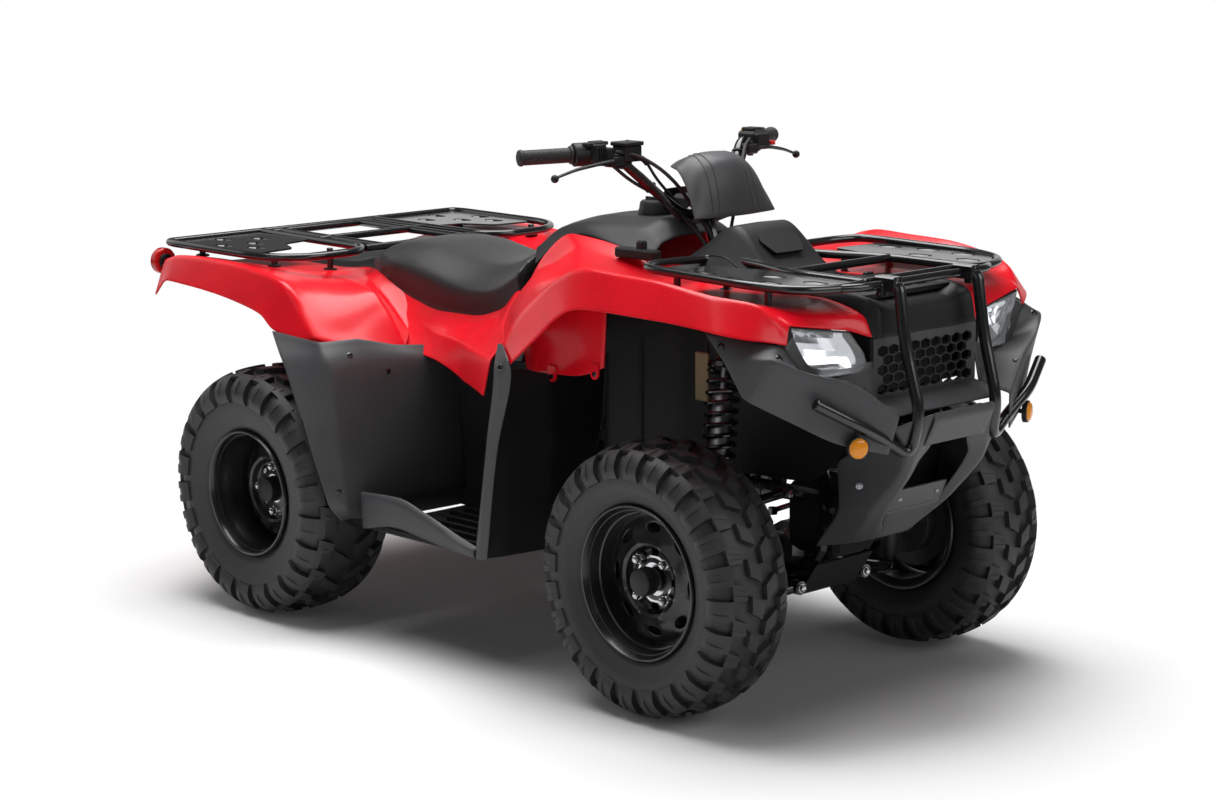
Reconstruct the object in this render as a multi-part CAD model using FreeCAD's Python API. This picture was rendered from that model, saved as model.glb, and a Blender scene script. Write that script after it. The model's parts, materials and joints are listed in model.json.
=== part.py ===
import FreeCAD, Part
import math
import os

# A utility quad bike: four knobbly tyres, saddle, handlebar, two racks.
# Frame: X forward, Y to the rider's left, Z up, millimetres, floor at Z = 0,
# X = 0 halfway between the axles.

V = FreeCAD.Vector

# Driving dimensions
wheelbase = 1267.0
front_half_track = 419.0
rear_half_track = 467.0
front_tyre_radius = 297.5
rear_tyre_radius = 303.0
front_tyre_width = 200.0
rear_tyre_width = 240.0
front_rim_radius = 152.5
rear_rim_radius = 140.0
front_rim_width = 160.0
rear_rim_width = 211.0
lug_height = 13.0
front_pitches = 11
rear_pitches = 11
rim_sides = 20

front_axle_x = wheelbase / 2.0
rear_axle_x = -wheelbase / 2.0

# The body's points are drawn on this bike. They follow the wheelbase, the tracks and the
# tyres: stretched between the axles, carried along beyond them, and lifted by the tyres.
drawn_axle_x = 633.5
drawn_front_track = 419.0
drawn_rear_track = 467.0
drawn_front_tyre = 297.5
drawn_rear_tyre = 303.0
inner_y = 195.0         # the body's points inside this stay where the track changes,
outer_y = 380.0         # those beyond this move out with it

seat_fit = 0.3          # gap left between pieces that only rest on each other
running_gap = 1.0       # gap round shafts that turn
pin_gap = 0.5           # gap round studs and pins
ball_stud = 7.0
link_pin = 4.5

rack_tube = 11.0        # tube radii
bumper_tube = 12.7
frame_tube = 14.0
bar_tube = 11.1
panel = 4.0             # wall of the moulded panels
guard_wall = 5.0
six_flat = math.cos(math.pi / 6.0)      # how far a six sided rod's flats stand out, as a share of its radius
lamp_depth = 55.0

stem_rake = 20.0        # degrees from vertical, top towards the rider
stem_radius = 14.0
stem_top = 322.0        # along the stem from its base point
stem_foot = 330.0
steer_arm = 60.0
knuckle_arm = 86.0

king_y = front_half_track - 101.0    # steering axis of each front wheel
front_disc_y = -40.0    # outer face of the rim's disc from the middle of the rim
rear_disc_y = -38.0
axle_radius = 18.0
stub_radius = 14.0
hitch_hole = 19.0
case_radius = 86.0       # the rear gear case

spine_y = 170.0         # where the fenders meet the middle covers
deck_y = 150.0          # where the rear fenders meet the rear deck

front_rack_z = 932.0
rack_front_x = 988.0
rack_mid_x = 690.0
rack_inner_y = 170.0
rear_rack_z = 866.0
rear_rack_x = -1078.0
rear_rack_inner_y = 182.0


def blend(first, second, share):
    return first + (second - first) * max(0.0, min(1.0, share))


# A point of the body or frame, drawn at x, y, z.
def P(x, y, z):
    share = max(-1.0, min(1.0, x / drawn_axle_x))
    ahead = (share + 1.0) / 2.0
    spread = blend(rear_half_track - drawn_rear_track, front_half_track - drawn_front_track, ahead)
    lift = blend(rear_tyre_radius - drawn_rear_tyre, front_tyre_radius - drawn_front_tyre, ahead)
    side = blend(0.0, spread, (abs(y) - inner_y) / (outer_y - inner_y))
    return V(x + (front_axle_x - drawn_axle_x) * share, y + math.copysign(side, y), z + lift)


# Shape helpers. Round and moulded forms are skins of flat facets, so that the whole bike
# stays light: a ring of points is carried along a path, round an axis or across a panel.

def flat(points):
    return Part.Face(Part.makePolygon(points + [points[0]]))


# One flat facet where the four corners lie in a plane, and two triangles where they don't.
def quad(p, q, r, s):
    corners = []
    for point in (p, q, r, s):
        if not corners or point.distanceToPoint(corners[-1]) > 1e-4:
            corners.append(point)
    if len(corners) > 1 and corners[0].distanceToPoint(corners[-1]) <= 1e-4:
        corners.pop()
    if len(corners) < 3:
        return []
    if len(corners) == 3:
        return [flat(corners)]
    across = (r.sub(p)).cross(s.sub(q))
    lift = abs(q.sub(p).dot(across)) / max(across.Length, 1e-9)
    if lift < 1e-5:
        return [flat([p, q, r, s])]
    return halves(p, q, r, s)


# Two triangles across the shorter diagonal.
def halves(p, q, r, s):
    if p.distanceToPoint(r) <= q.distanceToPoint(s):
        return [flat([p, q, r]), flat([p, r, s])]
    return [flat([p, q, s]), flat([q, r, s])]


def skin(rings, closed=False):
    faces = []
    pairs = list(zip(rings, rings[1:]))
    if closed:
        pairs.append((rings[-1], rings[0]))
    for first, second in pairs:
        count = len(first)
        for i in range(count):
            j = (i + 1) % count
            faces += quad(first[i], first[j], second[j], second[i])
    if not closed:
        faces += [flat(rings[0]), flat(rings[-1])]
    shell = Part.makeShell(faces)
    shell.sewShape()
    solid = Part.makeSolid(shell)
    if solid.Volume < 0:
        solid.reverse()
    return solid


def loft(sections):
    return skin([[P(*p) for p in section] for section in sections])


# Two unit vectors square to a direction.
def square_to(way):
    other = V(0, 0, 1) if abs(way.z) < 0.9 else V(1, 0, 0)
    first = way.cross(other).normalize()
    return first, way.cross(first).normalize()


# A turned solid: the closed outline (distance along the axis, radius) goes round the axis.
def turned(base, way, outline, sides):
    way = V(way).normalize()
    first, second = square_to(way)
    rings = []
    for k in range(sides):
        turn = 2.0 * math.pi * (k + 0.5) / sides
        radial = first * math.cos(turn) + second * math.sin(turn)
        rings.append([base.add(way * d).add(radial * r) for d, r in outline])
    return skin(rings, True)


def box(x0, x1, y0, y1, z0, z1):
    return Part.makeBox(x1 - x0, y1 - y0, z1 - z0, V(x0, y0, z0))


# A box whose corners are points of the body.
def body_box(x0, x1, y0, y1, z0, z1):
    low = P(x0, y0, z0)
    high = P(x1, y1, z1)
    return box(low.x, high.x, low.y, high.y, low.z, low.z + z1 - z0)


def rod(a, b, radius, sides=6):
    length = b.sub(a).Length
    return turned(a, b.sub(a), [(0, 0), (0, radius), (length, radius), (length, 0)], sides)


# A sleeve whose flats stand at the inner radius, so that it clears a shaft of that size.
def sleeve(a, b, outer, inner, sides=8):
    length = b.sub(a).Length
    hole = inner / math.cos(math.pi / sides)
    return turned(a, b.sub(a), [(0, hole), (0, outer), (length, outer), (length, hole)], sides)


def round_cut(a, b, radius):
    return Part.makeCylinder(radius, b.sub(a).Length, a, b.sub(a))


# A stay: a rod from a towards b that stops one fit short of the piece that it holds.
def stay(a, b, radius, held):
    way = b.sub(a).normalize()
    first, second = square_to(way)
    reach = b.sub(a).Length
    for k in range(6):
        turn = math.pi * (k + 0.5) / 3.0
        start = a.add(first * (radius * math.cos(turn))).add(second * (radius * math.sin(turn)))
        inside = Part.makeLine(start, start.add(way * reach)).common(held)
        for vertex in inside.Vertexes:
            reach = min(reach, vertex.Point.sub(start).dot(way))
    return rod(a, a.add(way * (reach - seat_fit)), radius, 6)


def extrude_xz(points, y0, y1):
    return flat([V(x, y0, z) for x, z in points]).extrude(V(0, y1 - y0, 0))


def body_profile(points, y0, y1):
    near = P(0.0, y0, 0.0).y
    return extrude_xz([(P(x, 0.0, z).x, P(x, 0.0, z).z) for x, z in points], near, near + y1 - y0)


def extrude_yz(points, x0, x1):
    return flat([P(x0, y, z) for y, z in points]).extrude(V(x1 - x0, 0, 0))


def extrude_xy(points, z0, z1):
    corners = [P(x, y, z0) for x, y in points]
    return flat([V(p.x, p.y, corners[0].z) for p in corners]).extrude(V(0, 0, z1 - z0))


def mirrored(shape):
    return shape.mirror(V(0, 0, 0), V(0, 1, 0))


def both_sides(shape):
    return [shape, mirrored(shape)]


def fused(shapes):
    return shapes[0].fuse(shapes[1:]) if len(shapes) > 1 else shapes[0]


# A path of straight runs whose corners are rounded to one radius by short chords.
def bent_path(points, bend, step=46.0):
    pts = list(points)
    path = [pts[0]]
    for before, corner, after in zip(pts, pts[1:], pts[2:]):
        u = before.sub(corner).normalize()
        w = after.sub(corner).normalize()
        half = u.getAngle(w) / 2.0
        turn = math.pi - 2.0 * half
        chords = max(1, int(math.ceil(math.degrees(turn) / step)))
        run = min(bend / math.tan(half), 0.48 * before.distanceToPoint(corner),
                  0.48 * after.distanceToPoint(corner))
        radius = run * math.tan(half)
        centre = corner.add(u.add(w).normalize() * (radius / math.cos(math.pi / 2.0 - half)))
        start = corner.add(u * run).sub(centre)
        side = corner.add(w * run).sub(centre)
        for k in range(chords + 1):
            share = k / chords
            a = math.sin((1.0 - share) * turn) / math.sin(turn)
            b = math.sin(share * turn) / math.sin(turn)
            path.append(centre.add(start * a).add(side * b))
    path.append(pts[-1])
    return path


# A bent tube: its ring is carried along the path and cut at the halving plane of each bend.
def tube(points, radius, bend=40.0, sides=6):
    path = bent_path(points, bend)
    way = path[1].sub(path[0]).normalize()
    first, second = square_to(way)
    rings = []
    here = []
    for k in range(sides):
        turn = 2.0 * math.pi * (k + 0.5) / sides
        here.append(path[0].add(first * (radius * math.cos(turn))).add(second * (radius * math.sin(turn))))
    rings.append(here)
    for k in range(1, len(path)):
        way = path[k].sub(path[k - 1]).normalize()
        if k < len(path) - 1:
            normal = way.add(path[k + 1].sub(path[k]).normalize()).normalize()
        else:
            normal = way
        here = [p.add(way * (path[k].sub(p).dot(normal) / way.dot(normal))) for p in here]
        rings.append(here)
    return skin(rings)


# A moulded panel from rows of points on its outer face. The inner face lies one wall behind
# it, on the side that the rows turn away from. Rows may be level, upright or slanting.
def plate(rows, wall=panel):
    outer = [[P(*p) for p in row] for row in rows]
    count = len(outer)
    width = len(outer[0])
    inner = []
    for i in range(count):
        line = []
        for j in range(width):
            before_i, after_i = outer[max(i - 1, 0)][j], outer[min(i + 1, count - 1)][j]
            ways = []
            for k in (j - 1, j + 1):
                if 0 <= k < width:
                    along = outer[i][max(k, j)].sub(outer[i][min(k, j)])
                    ways.append(after_i.sub(before_i).cross(along).normalize())
            normal = ways[0].add(ways[-1]).normalize()
            stretch = 1.0 / max(normal.dot(ways[0]), 0.6)
            line.append(outer[i][j].sub(normal * (wall * stretch)))
        inner.append(line)
    faces = []
    for face, order in ((outer, 1), (inner, -1)):
        for i in range(count - 1):
            for j in range(width - 1):
                ring = [face[i][j], face[i][j + 1], face[i + 1][j + 1], face[i + 1][j]]
                faces += halves(*ring[::order])
    for i in range(count - 1):
        for j in (0, width - 1):
            faces += halves(outer[i][j], outer[i + 1][j], inner[i + 1][j], inner[i][j])
    for j in range(width - 1):
        for i in (0, count - 1):
            faces += halves(outer[i][j], outer[i][j + 1], inner[i][j + 1], inner[i][j])
    shell = Part.makeShell(faces)
    shell.sewShape()
    solid = Part.makeSolid(shell)
    if solid.Volume < 0:
        solid.reverse()
    return solid


# A row that runs from the right edge to the middle, carried on to the left edge.
def whole_row(row):
    return row + [(x, -y, z) for x, y, z in reversed(row) if abs(y) > 1e-6]


# Wheels

# A knobbly tyre about the Y axis: its outline across the tread is carried round, and each
# pitch has a lug and a groove. The outline's tread points rise by the lug height on a lug.
# shift is how far a lug leans round the tyre, as a share of its pitch.
def knobbly_tyre(radius, width, rim_radius, rim_width, pitches, shift, lug_share):
    base = radius - lug_height
    half = width / 2.0
    bead = rim_width / 2.0 - 8.0
    hole = (rim_radius + seat_fit) / math.cos(math.pi * lug_share / pitches)
    right = [(bead, rim_radius + 14.0, 0.0), (half - 8.0, rim_radius + 52.0, 0.0),
             (half - 13.0, base - 30.0, 1.0), (half - 46.0, base - 4.0, 1.0), (5.0, base, 1.0)]
    outline = [(-y, r, rise) for y, r, rise in right] + [(y, r, rise) for y, r, rise in reversed(right)]
    outline += [(bead, hole, 0.0), (-bead, hole, 0.0)]
    lug_end = lug_share
    stations = [(0.0, 1.0), (lug_end, 1.0), (lug_end + 0.1, 0.0), (0.9, 0.0)]
    rings = []
    for pitch in range(pitches):
        for share, high in stations:
            ring = []
            for y, r, rise in outline:
                lean = shift(y / half) if rise else 0.0
                turn = 2.0 * math.pi * (pitch + share + lean) / pitches
                outward = lug_height * high * rise
                tall = r + outward * (0.75 if abs(y) > half - 20.0 else 1.0)
                wide = y + math.copysign(0.75 * outward, y) if abs(y) > half - 20.0 else y
                ring.append(V(tall * math.sin(turn), wide, -tall * math.cos(turn)))
            rings.append(ring)
    return skin(rings, True)


def front_tyre():
    return knobbly_tyre(front_tyre_radius, front_tyre_width, front_rim_radius, front_rim_width,
                        front_pitches, lambda across: 0.5 if across > 0 else 0.0, 0.42)


def rear_tyre():
    return knobbly_tyre(rear_tyre_radius, rear_tyre_width, rear_rim_radius, rear_rim_width,
                        rear_pitches, lambda across: (0.5 if across > 0 else 0.0) + 0.9 * abs(across), 0.40)


# A pressed steel rim, turned in one outline: rolled flanges, barrel and dished disc.
# The disc's outer face stands disc_y from the rim's middle, on the outer side (-Y).
def rim(radius, width, disc_y, hub_radius):
    half = width / 2.0
    flange = radius + 15.0
    outline = [(-half, flange), (-half, radius - 5.0), (disc_y + 10.0, radius - 6.0),
               (disc_y - 6.0, hub_radius + 34.0), (disc_y + 8.0, hub_radius + 24.0), (disc_y + 8.0, 20.0),
               (disc_y + 16.0, 20.0), (disc_y + 16.0, hub_radius + 32.0), (disc_y + 18.0, radius - 6.0),
               (half, radius - 5.0), (half, flange), (half - 5.0, radius), (-half + 5.0, radius)]
    return turned(V(0, 0, 0), V(0, 1, 0), outline, rim_sides)


def placed_wheel(shape, x, y, z):
    out = mirrored(shape) if y > 0 else shape.copy()
    out.translate(V(x, y, z))
    return out


# Steering geometry

front_lift = front_tyre_radius - drawn_front_tyre
stem_base = P(470.0, 0.0, 700.0)

stem_way = V(-math.sin(math.radians(stem_rake)), 0, math.cos(math.radians(stem_rake)))


def on_stem(distance):
    return stem_base.add(stem_way * distance)


def turned_with_stem(shape, distance):
    shape.rotate(V(0, 0, 0), V(0, 1, 0), -stem_rake)
    shape.translate(on_stem(distance))
    return shape


bar_seat = on_stem(stem_top + 12.0)
grip_outer = P(180.0, -400.0, 1152.0)
grip_inner = P(236.0, -280.0, 1155.0)


def steering_stem():
    shaft = rod(on_stem(-stem_foot), on_stem(stem_top), stem_radius, 10)
    plate = turned_with_stem(box(-steer_arm - 14.0, 20.0, -26.0, 26.0, -5.0, 5.0), -stem_foot + 5.0)
    clamp = turned_with_stem(box(-20.0, 20.0, -46.0, 46.0, -8.0, 12.0), stem_top)
    groove = round_cut(bar_seat.add(V(0, -80, 0)), bar_seat.add(V(0, 80, 0)), bar_tube + seat_fit)
    return shaft.fuse([plate, clamp]).cut(groove)


bar_half = [grip_outer, grip_inner, P(262.0, -205.0, 1157.0), P(330.0, -110.0, 1050.0),
            bar_seat.add(V(0, -72.0, 0)), bar_seat]


def handlebar():
    right = tube(bar_half, bar_tube, 46.0, 8)
    return right.fuse(mirrored(right))


# Handlebar grips, controls and cover

def on_bar(distance):
    return grip_outer.add(grip_inner.sub(grip_outer).normalize() * distance)


def grip():
    hand = sleeve(on_bar(0.3), on_bar(118), 16.5, bar_tube + seat_fit, 8)
    end = rod(on_bar(-8), on_bar(-0.3), 18.5, 8)
    rim_ring = sleeve(on_bar(-0.4), on_bar(4), 18.5, bar_tube + seat_fit, 8)
    collar = sleeve(on_bar(112), on_bar(118), 20.0, bar_tube + seat_fit, 8)
    return hand.fuse([end, rim_ring, collar])


# The lever's perch is a block on the bar with its blade in front.
def hand_lever():
    blade = tube([P(292.0, -214.0, 1142.0), P(296.0, -262.0, 1140.0), P(286.0, -330.0, 1129.0),
                  P(274.0, -385.0, 1113.0)], 5.5, 30.0, 6)
    ball = turned(P(274.0, -385.0, 1104.0), V(0, 0, 1), [(0, 0), (5, 8), (13, 8), (18, 0)], 6)
    perch = body_box(262.0, 302.0, -226.0, -196.0, 1128.0, 1150.0)
    return blade.fuse([ball, perch])


def controls(tank):
    pod = sleeve(on_bar(118.3), on_bar(162), 26.0, bar_tube + seat_fit, 10)
    face = body_box(236.0, 286.0, -270.0, -222.0, 1140.0, 1184.0)
    shapes = [pod, face, hand_lever()]
    if tank:
        shapes.append(body_box(262.0, 306.0, -200.0, -150.0, 1140.0, 1178.0))
    whole = fused(shapes)
    return whole.cut(tube(bar_half, bar_tube + seat_fit, 46.0, 8))


# The moulded cover over the bar clamp: an arch from its rear edge down to the front lip,
# carried on a post that stands on the clamp.
def handlebar_cover():
    rows = [
        [(322, -80, 1122), (322, -58, 1132), (322, -24, 1138), (322, 0, 1139)],
        [(362, -104, 1120), (366, -76, 1142), (370, -30, 1151), (370, 0, 1152)],
        [(398, -112, 1090), (408, -90, 1116), (416, -34, 1136), (418, 0, 1138)],
        [(424, -120, 1056), (434, -98, 1070), (442, -36, 1082), (444, 0, 1084)],
        [(446, -127, 1018), (450, -100, 1017), (452, -38, 1015), (452, 0, 1015)],
    ]
    cover = plate([whole_row(row) for row in rows])
    post = rod(on_stem(stem_top + 12.0 + seat_fit), V(bar_seat.x, 0, 1144.0 + front_lift), 9.0, 6)
    post = post.cut(round_cut(bar_seat.add(V(0, -80, 0)), bar_seat.add(V(0, 80, 0)), bar_tube + seat_fit))
    return cover.fuse(post)


# Front suspension and knuckles

rail_y = 80.0
rail_z = 232.0
mid_rail_z = 440.0
front_rail_z = rail_z + front_lift
front_mid_z = mid_rail_z + front_lift
lower_sleeve = 16.0
upper_sleeve = 14.0
eye_radius = 15.0
lower_pivot_y = rail_y + (frame_tube + lower_sleeve) * six_flat + seat_fit
upper_pivot_y = rail_y + (frame_tube + upper_sleeve) * six_flat + seat_fit
lower_pivot_z = front_rail_z + 4.0
upper_pivot_z = front_mid_z
ball_gap = 8.0
upper_ball_z = 408.0 + front_lift
lower_ball_z = 196.0 + front_lift
arm_link = V(front_axle_x - knuckle_arm, -king_y + 40.0, 352.0 + front_lift)


# A wishbone: two tubes from their pivot sleeves on the frame out to the ball joint's boss.
def wishbone(pivot_y, pivot_z, ball_z, spread, radius, sleeve_radius):
    boss_y = -king_y
    low = V(front_axle_x, boss_y, ball_z - 9.0)
    high = V(front_axle_x, boss_y, ball_z + 9.0)
    parts = [rod(low, high, 17.0)]
    for side in (-1, 1):
        root = V(front_axle_x + side * spread, -pivot_y, pivot_z)
        parts.append(rod(root, V(front_axle_x, boss_y, ball_z), radius))
        parts.append(rod(root.add(V(-17, 0, 0)), root.add(V(17, 0, 0)), sleeve_radius))
    return parts


# The bore of a ball joint's boss, for the knuckle's stud.
def boss_room(ball_z):
    return round_cut(V(front_axle_x, -king_y, ball_z - 60.0), V(front_axle_x, -king_y, ball_z + 60.0),
                     ball_stud + pin_gap)


def lower_arm():
    parts = wishbone(lower_pivot_y, lower_pivot_z, lower_ball_z, 95.0, 12.0, lower_sleeve)
    return fused(parts).cut(boss_room(lower_ball_z))


def shock_foot():
    y = -258.0
    share = (-y - upper_pivot_y) / (king_y - upper_pivot_y)
    z = upper_pivot_z + (upper_ball_z - upper_pivot_z) * share
    return V(front_axle_x, y, z + 11.0 + 6.0 + eye_radius + seat_fit)


def upper_arm():
    parts = wishbone(upper_pivot_y, upper_pivot_z, upper_ball_z, 60.0, 11.0, upper_sleeve)
    foot = shock_foot()
    saddle = box(foot.x - 24.0, foot.x + 24.0, foot.y - 16.0, foot.y + 16.0, foot.z - 30.0, foot.z - eye_radius - seat_fit)
    return fused(parts + [saddle]).cut(boss_room(upper_ball_z))


def knuckle():
    axle = V(front_axle_x, -king_y, front_tyre_radius)
    low = V(front_axle_x, -king_y, lower_ball_z + 9.0 + ball_gap)
    top = V(front_axle_x, -king_y, upper_ball_z - 9.0 - ball_gap)
    upright = rod(low, top, 18.0)
    hub = rod(axle, axle.add(V(0, -44.0, 0)), 38.0, 12)
    arm = tube([V(front_axle_x, -king_y, arm_link.z), V(front_axle_x - 40.0, -king_y + 10.0, arm_link.z),
                V(arm_link.x, arm_link.y, arm_link.z)], 9.0, 20.0)
    drum = rod(axle.add(V(0, -40.0, 0)), axle.add(V(0, -76.0, 0)), 82.0, 16)
    stub = rod(axle, V(axle.x, -front_half_track - 66.0, axle.z), stub_radius, 12)
    ball_pin = rod(low.sub(V(0, 0, 24.0)), top.add(V(0, 0, 24.0)), ball_stud, 8)
    rod_pin = rod(arm_link, arm_link.add(V(0, 0, 32.0)), link_pin, 8)
    return upright.fuse([hub, arm, drum, stub, ball_pin, rod_pin])


# The wheel's own hub turns outside the drum and carries the rim on its flange.
def front_hub():
    y0 = -king_y - 76.0 - 5.0
    y1 = -(front_half_track + 40.0 - 16.0)
    flange = rod(V(front_axle_x, y0, front_tyre_radius), V(front_axle_x, y1, front_tyre_radius), 52.0, 12)
    cap_end = V(front_axle_x, -front_half_track - 70.0, front_tyre_radius)
    cap = rod(V(front_axle_x, y1, front_tyre_radius), cap_end, 19.5, 12)
    bore = round_cut(V(front_axle_x, -king_y, front_tyre_radius),
                     V(front_axle_x, -front_half_track - 67.0, front_tyre_radius), stub_radius + running_gap)
    return flange.fuse(cap).cut(bore)


rake = math.radians(stem_rake)
stem_link = on_stem(-stem_foot + 5.0).add(V(-steer_arm * math.cos(rake), 0, -steer_arm * math.sin(rake) - 26.0))


def tie_rod():
    a = arm_link.add(V(0, 0, 9.0 + 3.0 + 8.0))
    b = stem_link.add(V(0, -40.0, 0))
    outer_eye = rod(arm_link.add(V(0, 0, 9.0 + 0.3)), a.add(V(0, 0, 8.0)), 11.0)
    inner_eye = rod(b.add(V(0, 0, -8.0)), b.add(V(0, 0, 8.0)), 11.0)
    pin_room = round_cut(arm_link, arm_link.add(V(0, 0, 60.0)), link_pin + pin_gap)
    return outer_eye.fuse([rod(a, b, 7.0), inner_eye]).cut(pin_room)


shock_top = V(front_axle_x - 20.0, -205.0, 765.0 + front_lift)


def front_shock():
    top = shock_top
    low = shock_foot()
    way = low.sub(top).normalize()
    length = low.sub(top).Length

    def at(share):
        return top.add(way * share)

    def eye(centre):
        return rod(centre.add(V(-16, 0, 0)), centre.add(V(16, 0, 0)), eye_radius)

    outline = [(8.0, 0.0), (8.0, 10.0), (34.0, 10.0), (34.0, 34.0), (44.0, 34.0)]
    turns = 4
    for k in range(turns):
        a = 46.0 + (length - 110.0) * k / turns
        b = 46.0 + (length - 110.0) * (k + 0.5) / turns
        outline += [(a, 33.0), (b, 25.0)]
    outline += [(length - 64.0, 33.0), (length - 62.0, 34.0), (length - 54.0, 34.0), (length - 54.0, 11.0),
                (length - 8.0, 11.0), (length - 8.0, 0.0)]
    body = turned(top, way, outline, 8)
    return body.fuse([eye(top), eye(low)])


# Frame

def side_tubes(points, radius=frame_tube, bend=60.0):
    return both_sides(tube(points, radius, bend))


def cross_tube(x, y, z, radius=12.0):
    return rod(P(x, -y, z), P(x, y, z), radius)


# A point a little past b on the line from a, so that two tubes meet end to end.
def past(a, b, gap=seat_fit):
    return b.add(b.sub(a).normalize() * gap)


front_foot_a = P(716.0, -rail_y, rail_z)
front_foot_b = P(762.0, -rail_y, 300.0)
rear_foot_a = P(-300.0, -rail_y, rail_z)
rear_foot_b = P(-340.0, -rail_y, 300.0)
head_a = P(560.0, -78.0, 800.0)
head_b = P(408.0, -60.0, 812.0)


def frame_lower():
    rails = side_tubes([front_foot_b, front_foot_a, rear_foot_a, rear_foot_b])
    bars = [cross_tube(x, rail_y, rail_z, 10.0) for x in (700.0, 566.0, 330.0, -80.0, -290.0)]
    return fused(rails + bars)


def frame_front(fender, lamp, guard):
    start = past(front_foot_a, front_foot_b)
    uprights = side_tubes([start, P(790.0, -rail_y, 342.0), P(786.0, -rail_y, 460.0), P(752.0, -88.0, 712.0), head_a,
                           head_b])
    post_x = front_axle_x - 47.5
    posts = side_tubes([V(post_x, -rail_y, front_rail_z + frame_tube + seat_fit),
                        V(post_x, -rail_y, 790.0 + front_lift)], 11.0)
    mids = side_tubes([P(788.0, -rail_y, mid_rail_z), V(front_axle_x - 80.0, -rail_y, front_mid_z)], frame_tube)
    tower_z = shock_top.z + eye_radius + seat_fit
    tower = box(shock_top.x - 16.0, shock_top.x + 16.0, -222.0, -76.0, tower_z, tower_z + 7.0)
    low_end = on_stem(-170.0)
    stem_high = on_stem(118.0)
    bars = [cross_tube(785.0, rail_y, 520.0), cross_tube(752.0, 88.0, 712.0),
            rod(V(stem_high.x, -62.0, head_b.z - 1.0), V(stem_high.x, 62.0, head_b.z - 1.0), 12.0)]
    bars += both_sides(rod(low_end, V(post_x, -rail_y, low_end.z), 9.0))
    collars = [rod(on_stem(d - 18.0), on_stem(d + 18.0), stem_radius + 10.0, 10) for d in (-170.0, 118.0)]
    stays = [stay(P(690.0, -84.0, 740.0), P(700.0, -250.0, 950.0), 8.0, fender),
             stay(P(752.0, -86.0, 700.0), P(990.0, -280.0, 800.0), 8.0, lamp),
             stay(P(788.0, -80.0, 420.0), P(900.0, -170.0, 440.0), 8.0, guard)]
    for one in stays:
        bars += both_sides(one)
    whole = fused(uprights + posts + mids + both_sides(tower) + bars + collars)
    return whole.cut(round_cut(on_stem(-240.0), on_stem(180.0), stem_radius + running_gap))


def frame_upper(cover, deck, guard, wall):
    start = past(head_a, head_b)
    straight = past(head_a, head_b, 40.0)
    rails = side_tubes([start, straight, P(330.0, -60.0, 812.0), P(100.0, -90.0, 760.0), P(-180.0, -116.0, 690.0),
                        P(-300.0, -116.0, 690.0),
                        P(-640.0, -126.0, 742.0), P(-940.0, -126.0, 770.0)])
    down = side_tubes([past(rear_foot_a, rear_foot_b), P(-372.0, -rail_y, 356.0), P(-372.0, -100.0, 560.0),
                       P(-330.0, -112.0, 694.0)])
    bars = [cross_tube(100.0, 90.0, 760.0), cross_tube(-450.0, 116.0, 713.0), cross_tube(-700.0, 124.0, 748.0),
            cross_tube(-925.0, 126.0, 769.0)]
    pads = []
    for x, y in ((-331.0, -116.0), (-552.0, -122.0)):
        top = min(seat_bottom(x - 10.0), seat_bottom(x), seat_bottom(x + 10.0)) - seat_fit
        pads += both_sides(body_box(x - 10.0, x + 10.0, y - 12.0, y + 12.0, top - 26.0, top))
    stays = [stay(P(-240.0, -112.0, 690.0), P(-226.0, -290.0, 700.0), 7.0, cover),
             stay(P(-925.0, -60.0, 769.0), P(-925.0, -60.0, 860.0), 9.0, deck),
             stay(P(-372.0, -96.0, 480.0), P(-280.0, -240.0, 480.0), 8.0, guard),
             stay(P(-372.0, -92.0, 440.0), P(-228.0, -189.0, 440.0), 8.0, wall)]
    for one in stays:
        pads += both_sides(one)
    lugs = clevis(P(-450.0, 0, 713.0), rear_shock_top.sub(V(0, 0, 14.0)), 34.0)
    return fused(rails + down + bars + pads + lugs)


def skid_plate():
    top = front_foot_a.z - frame_tube - seat_fit
    rear_top = rear_foot_a.z - frame_tube - seat_fit
    wall = 4.0
    slope = front_foot_b.sub(front_foot_a).normalize()
    out = V(slope.z, 0, -slope.x)
    near = front_foot_a.add(out * (frame_tube + seat_fit))
    far = front_foot_b.add(out * (frame_tube + seat_fit))
    near_low = front_foot_a.add(out * (frame_tube + seat_fit + wall))
    far_low = front_foot_b.add(out * (frame_tube + seat_fit + wall))

    def foot(p):
        return p.x - (p.z - top) * slope.x / slope.z

    corner = foot(near)
    corner_low = near_low.x - (near_low.z - top + wall) * slope.x / slope.z
    outline = [(rear_foot_a.x, rear_top), (corner, top), (far.x, far.z), (far_low.x, far_low.z),
               (corner_low, top - wall), (rear_foot_a.x, rear_top - wall)]
    half = rail_y + frame_tube * six_flat
    return extrude_xz(outline, -half, half)


def engine():
    floor = rail_z + frame_tube + seat_fit
    case = body_profile([(-250.0, floor), (270.0, floor), (290.0, 330.0), (240.0, 480.0), (-120.0, 500.0),
                       (-260.0, 420.0)], -140.0, 140.0)
    cylinder = body_box(10.0, 190.0, -72.0, 72.0, 470.0, 690.0)
    return case.fuse(cylinder)


def exhaust():
    a = P(-430.0, -232.0, 560.0)
    b = P(-880.0, -232.0, 640.0)
    length = b.sub(a).Length
    silencer = turned(a, b.sub(a), [(0, 0), (0, 26), (40, 60), (length - 30, 60), (length, 40), (length, 0)], 12)
    header = tube([P(100.0, -72.0 - seat_fit, 620.0), P(100.0, -120.0, 620.0), P(-20.0, -146.0, 600.0),
                   P(-350.0, -146.0, 560.0), P(-400.0, -232.0, 555.0), P(-440.0, -232.0, 561.0)], 19.0, 40.0)
    hanger = rod(P(-660.0, -210.0, 650.0), P(-660.0, -134.0, 730.0), 7.0, 6)
    return silencer.fuse([header, hanger])


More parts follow.
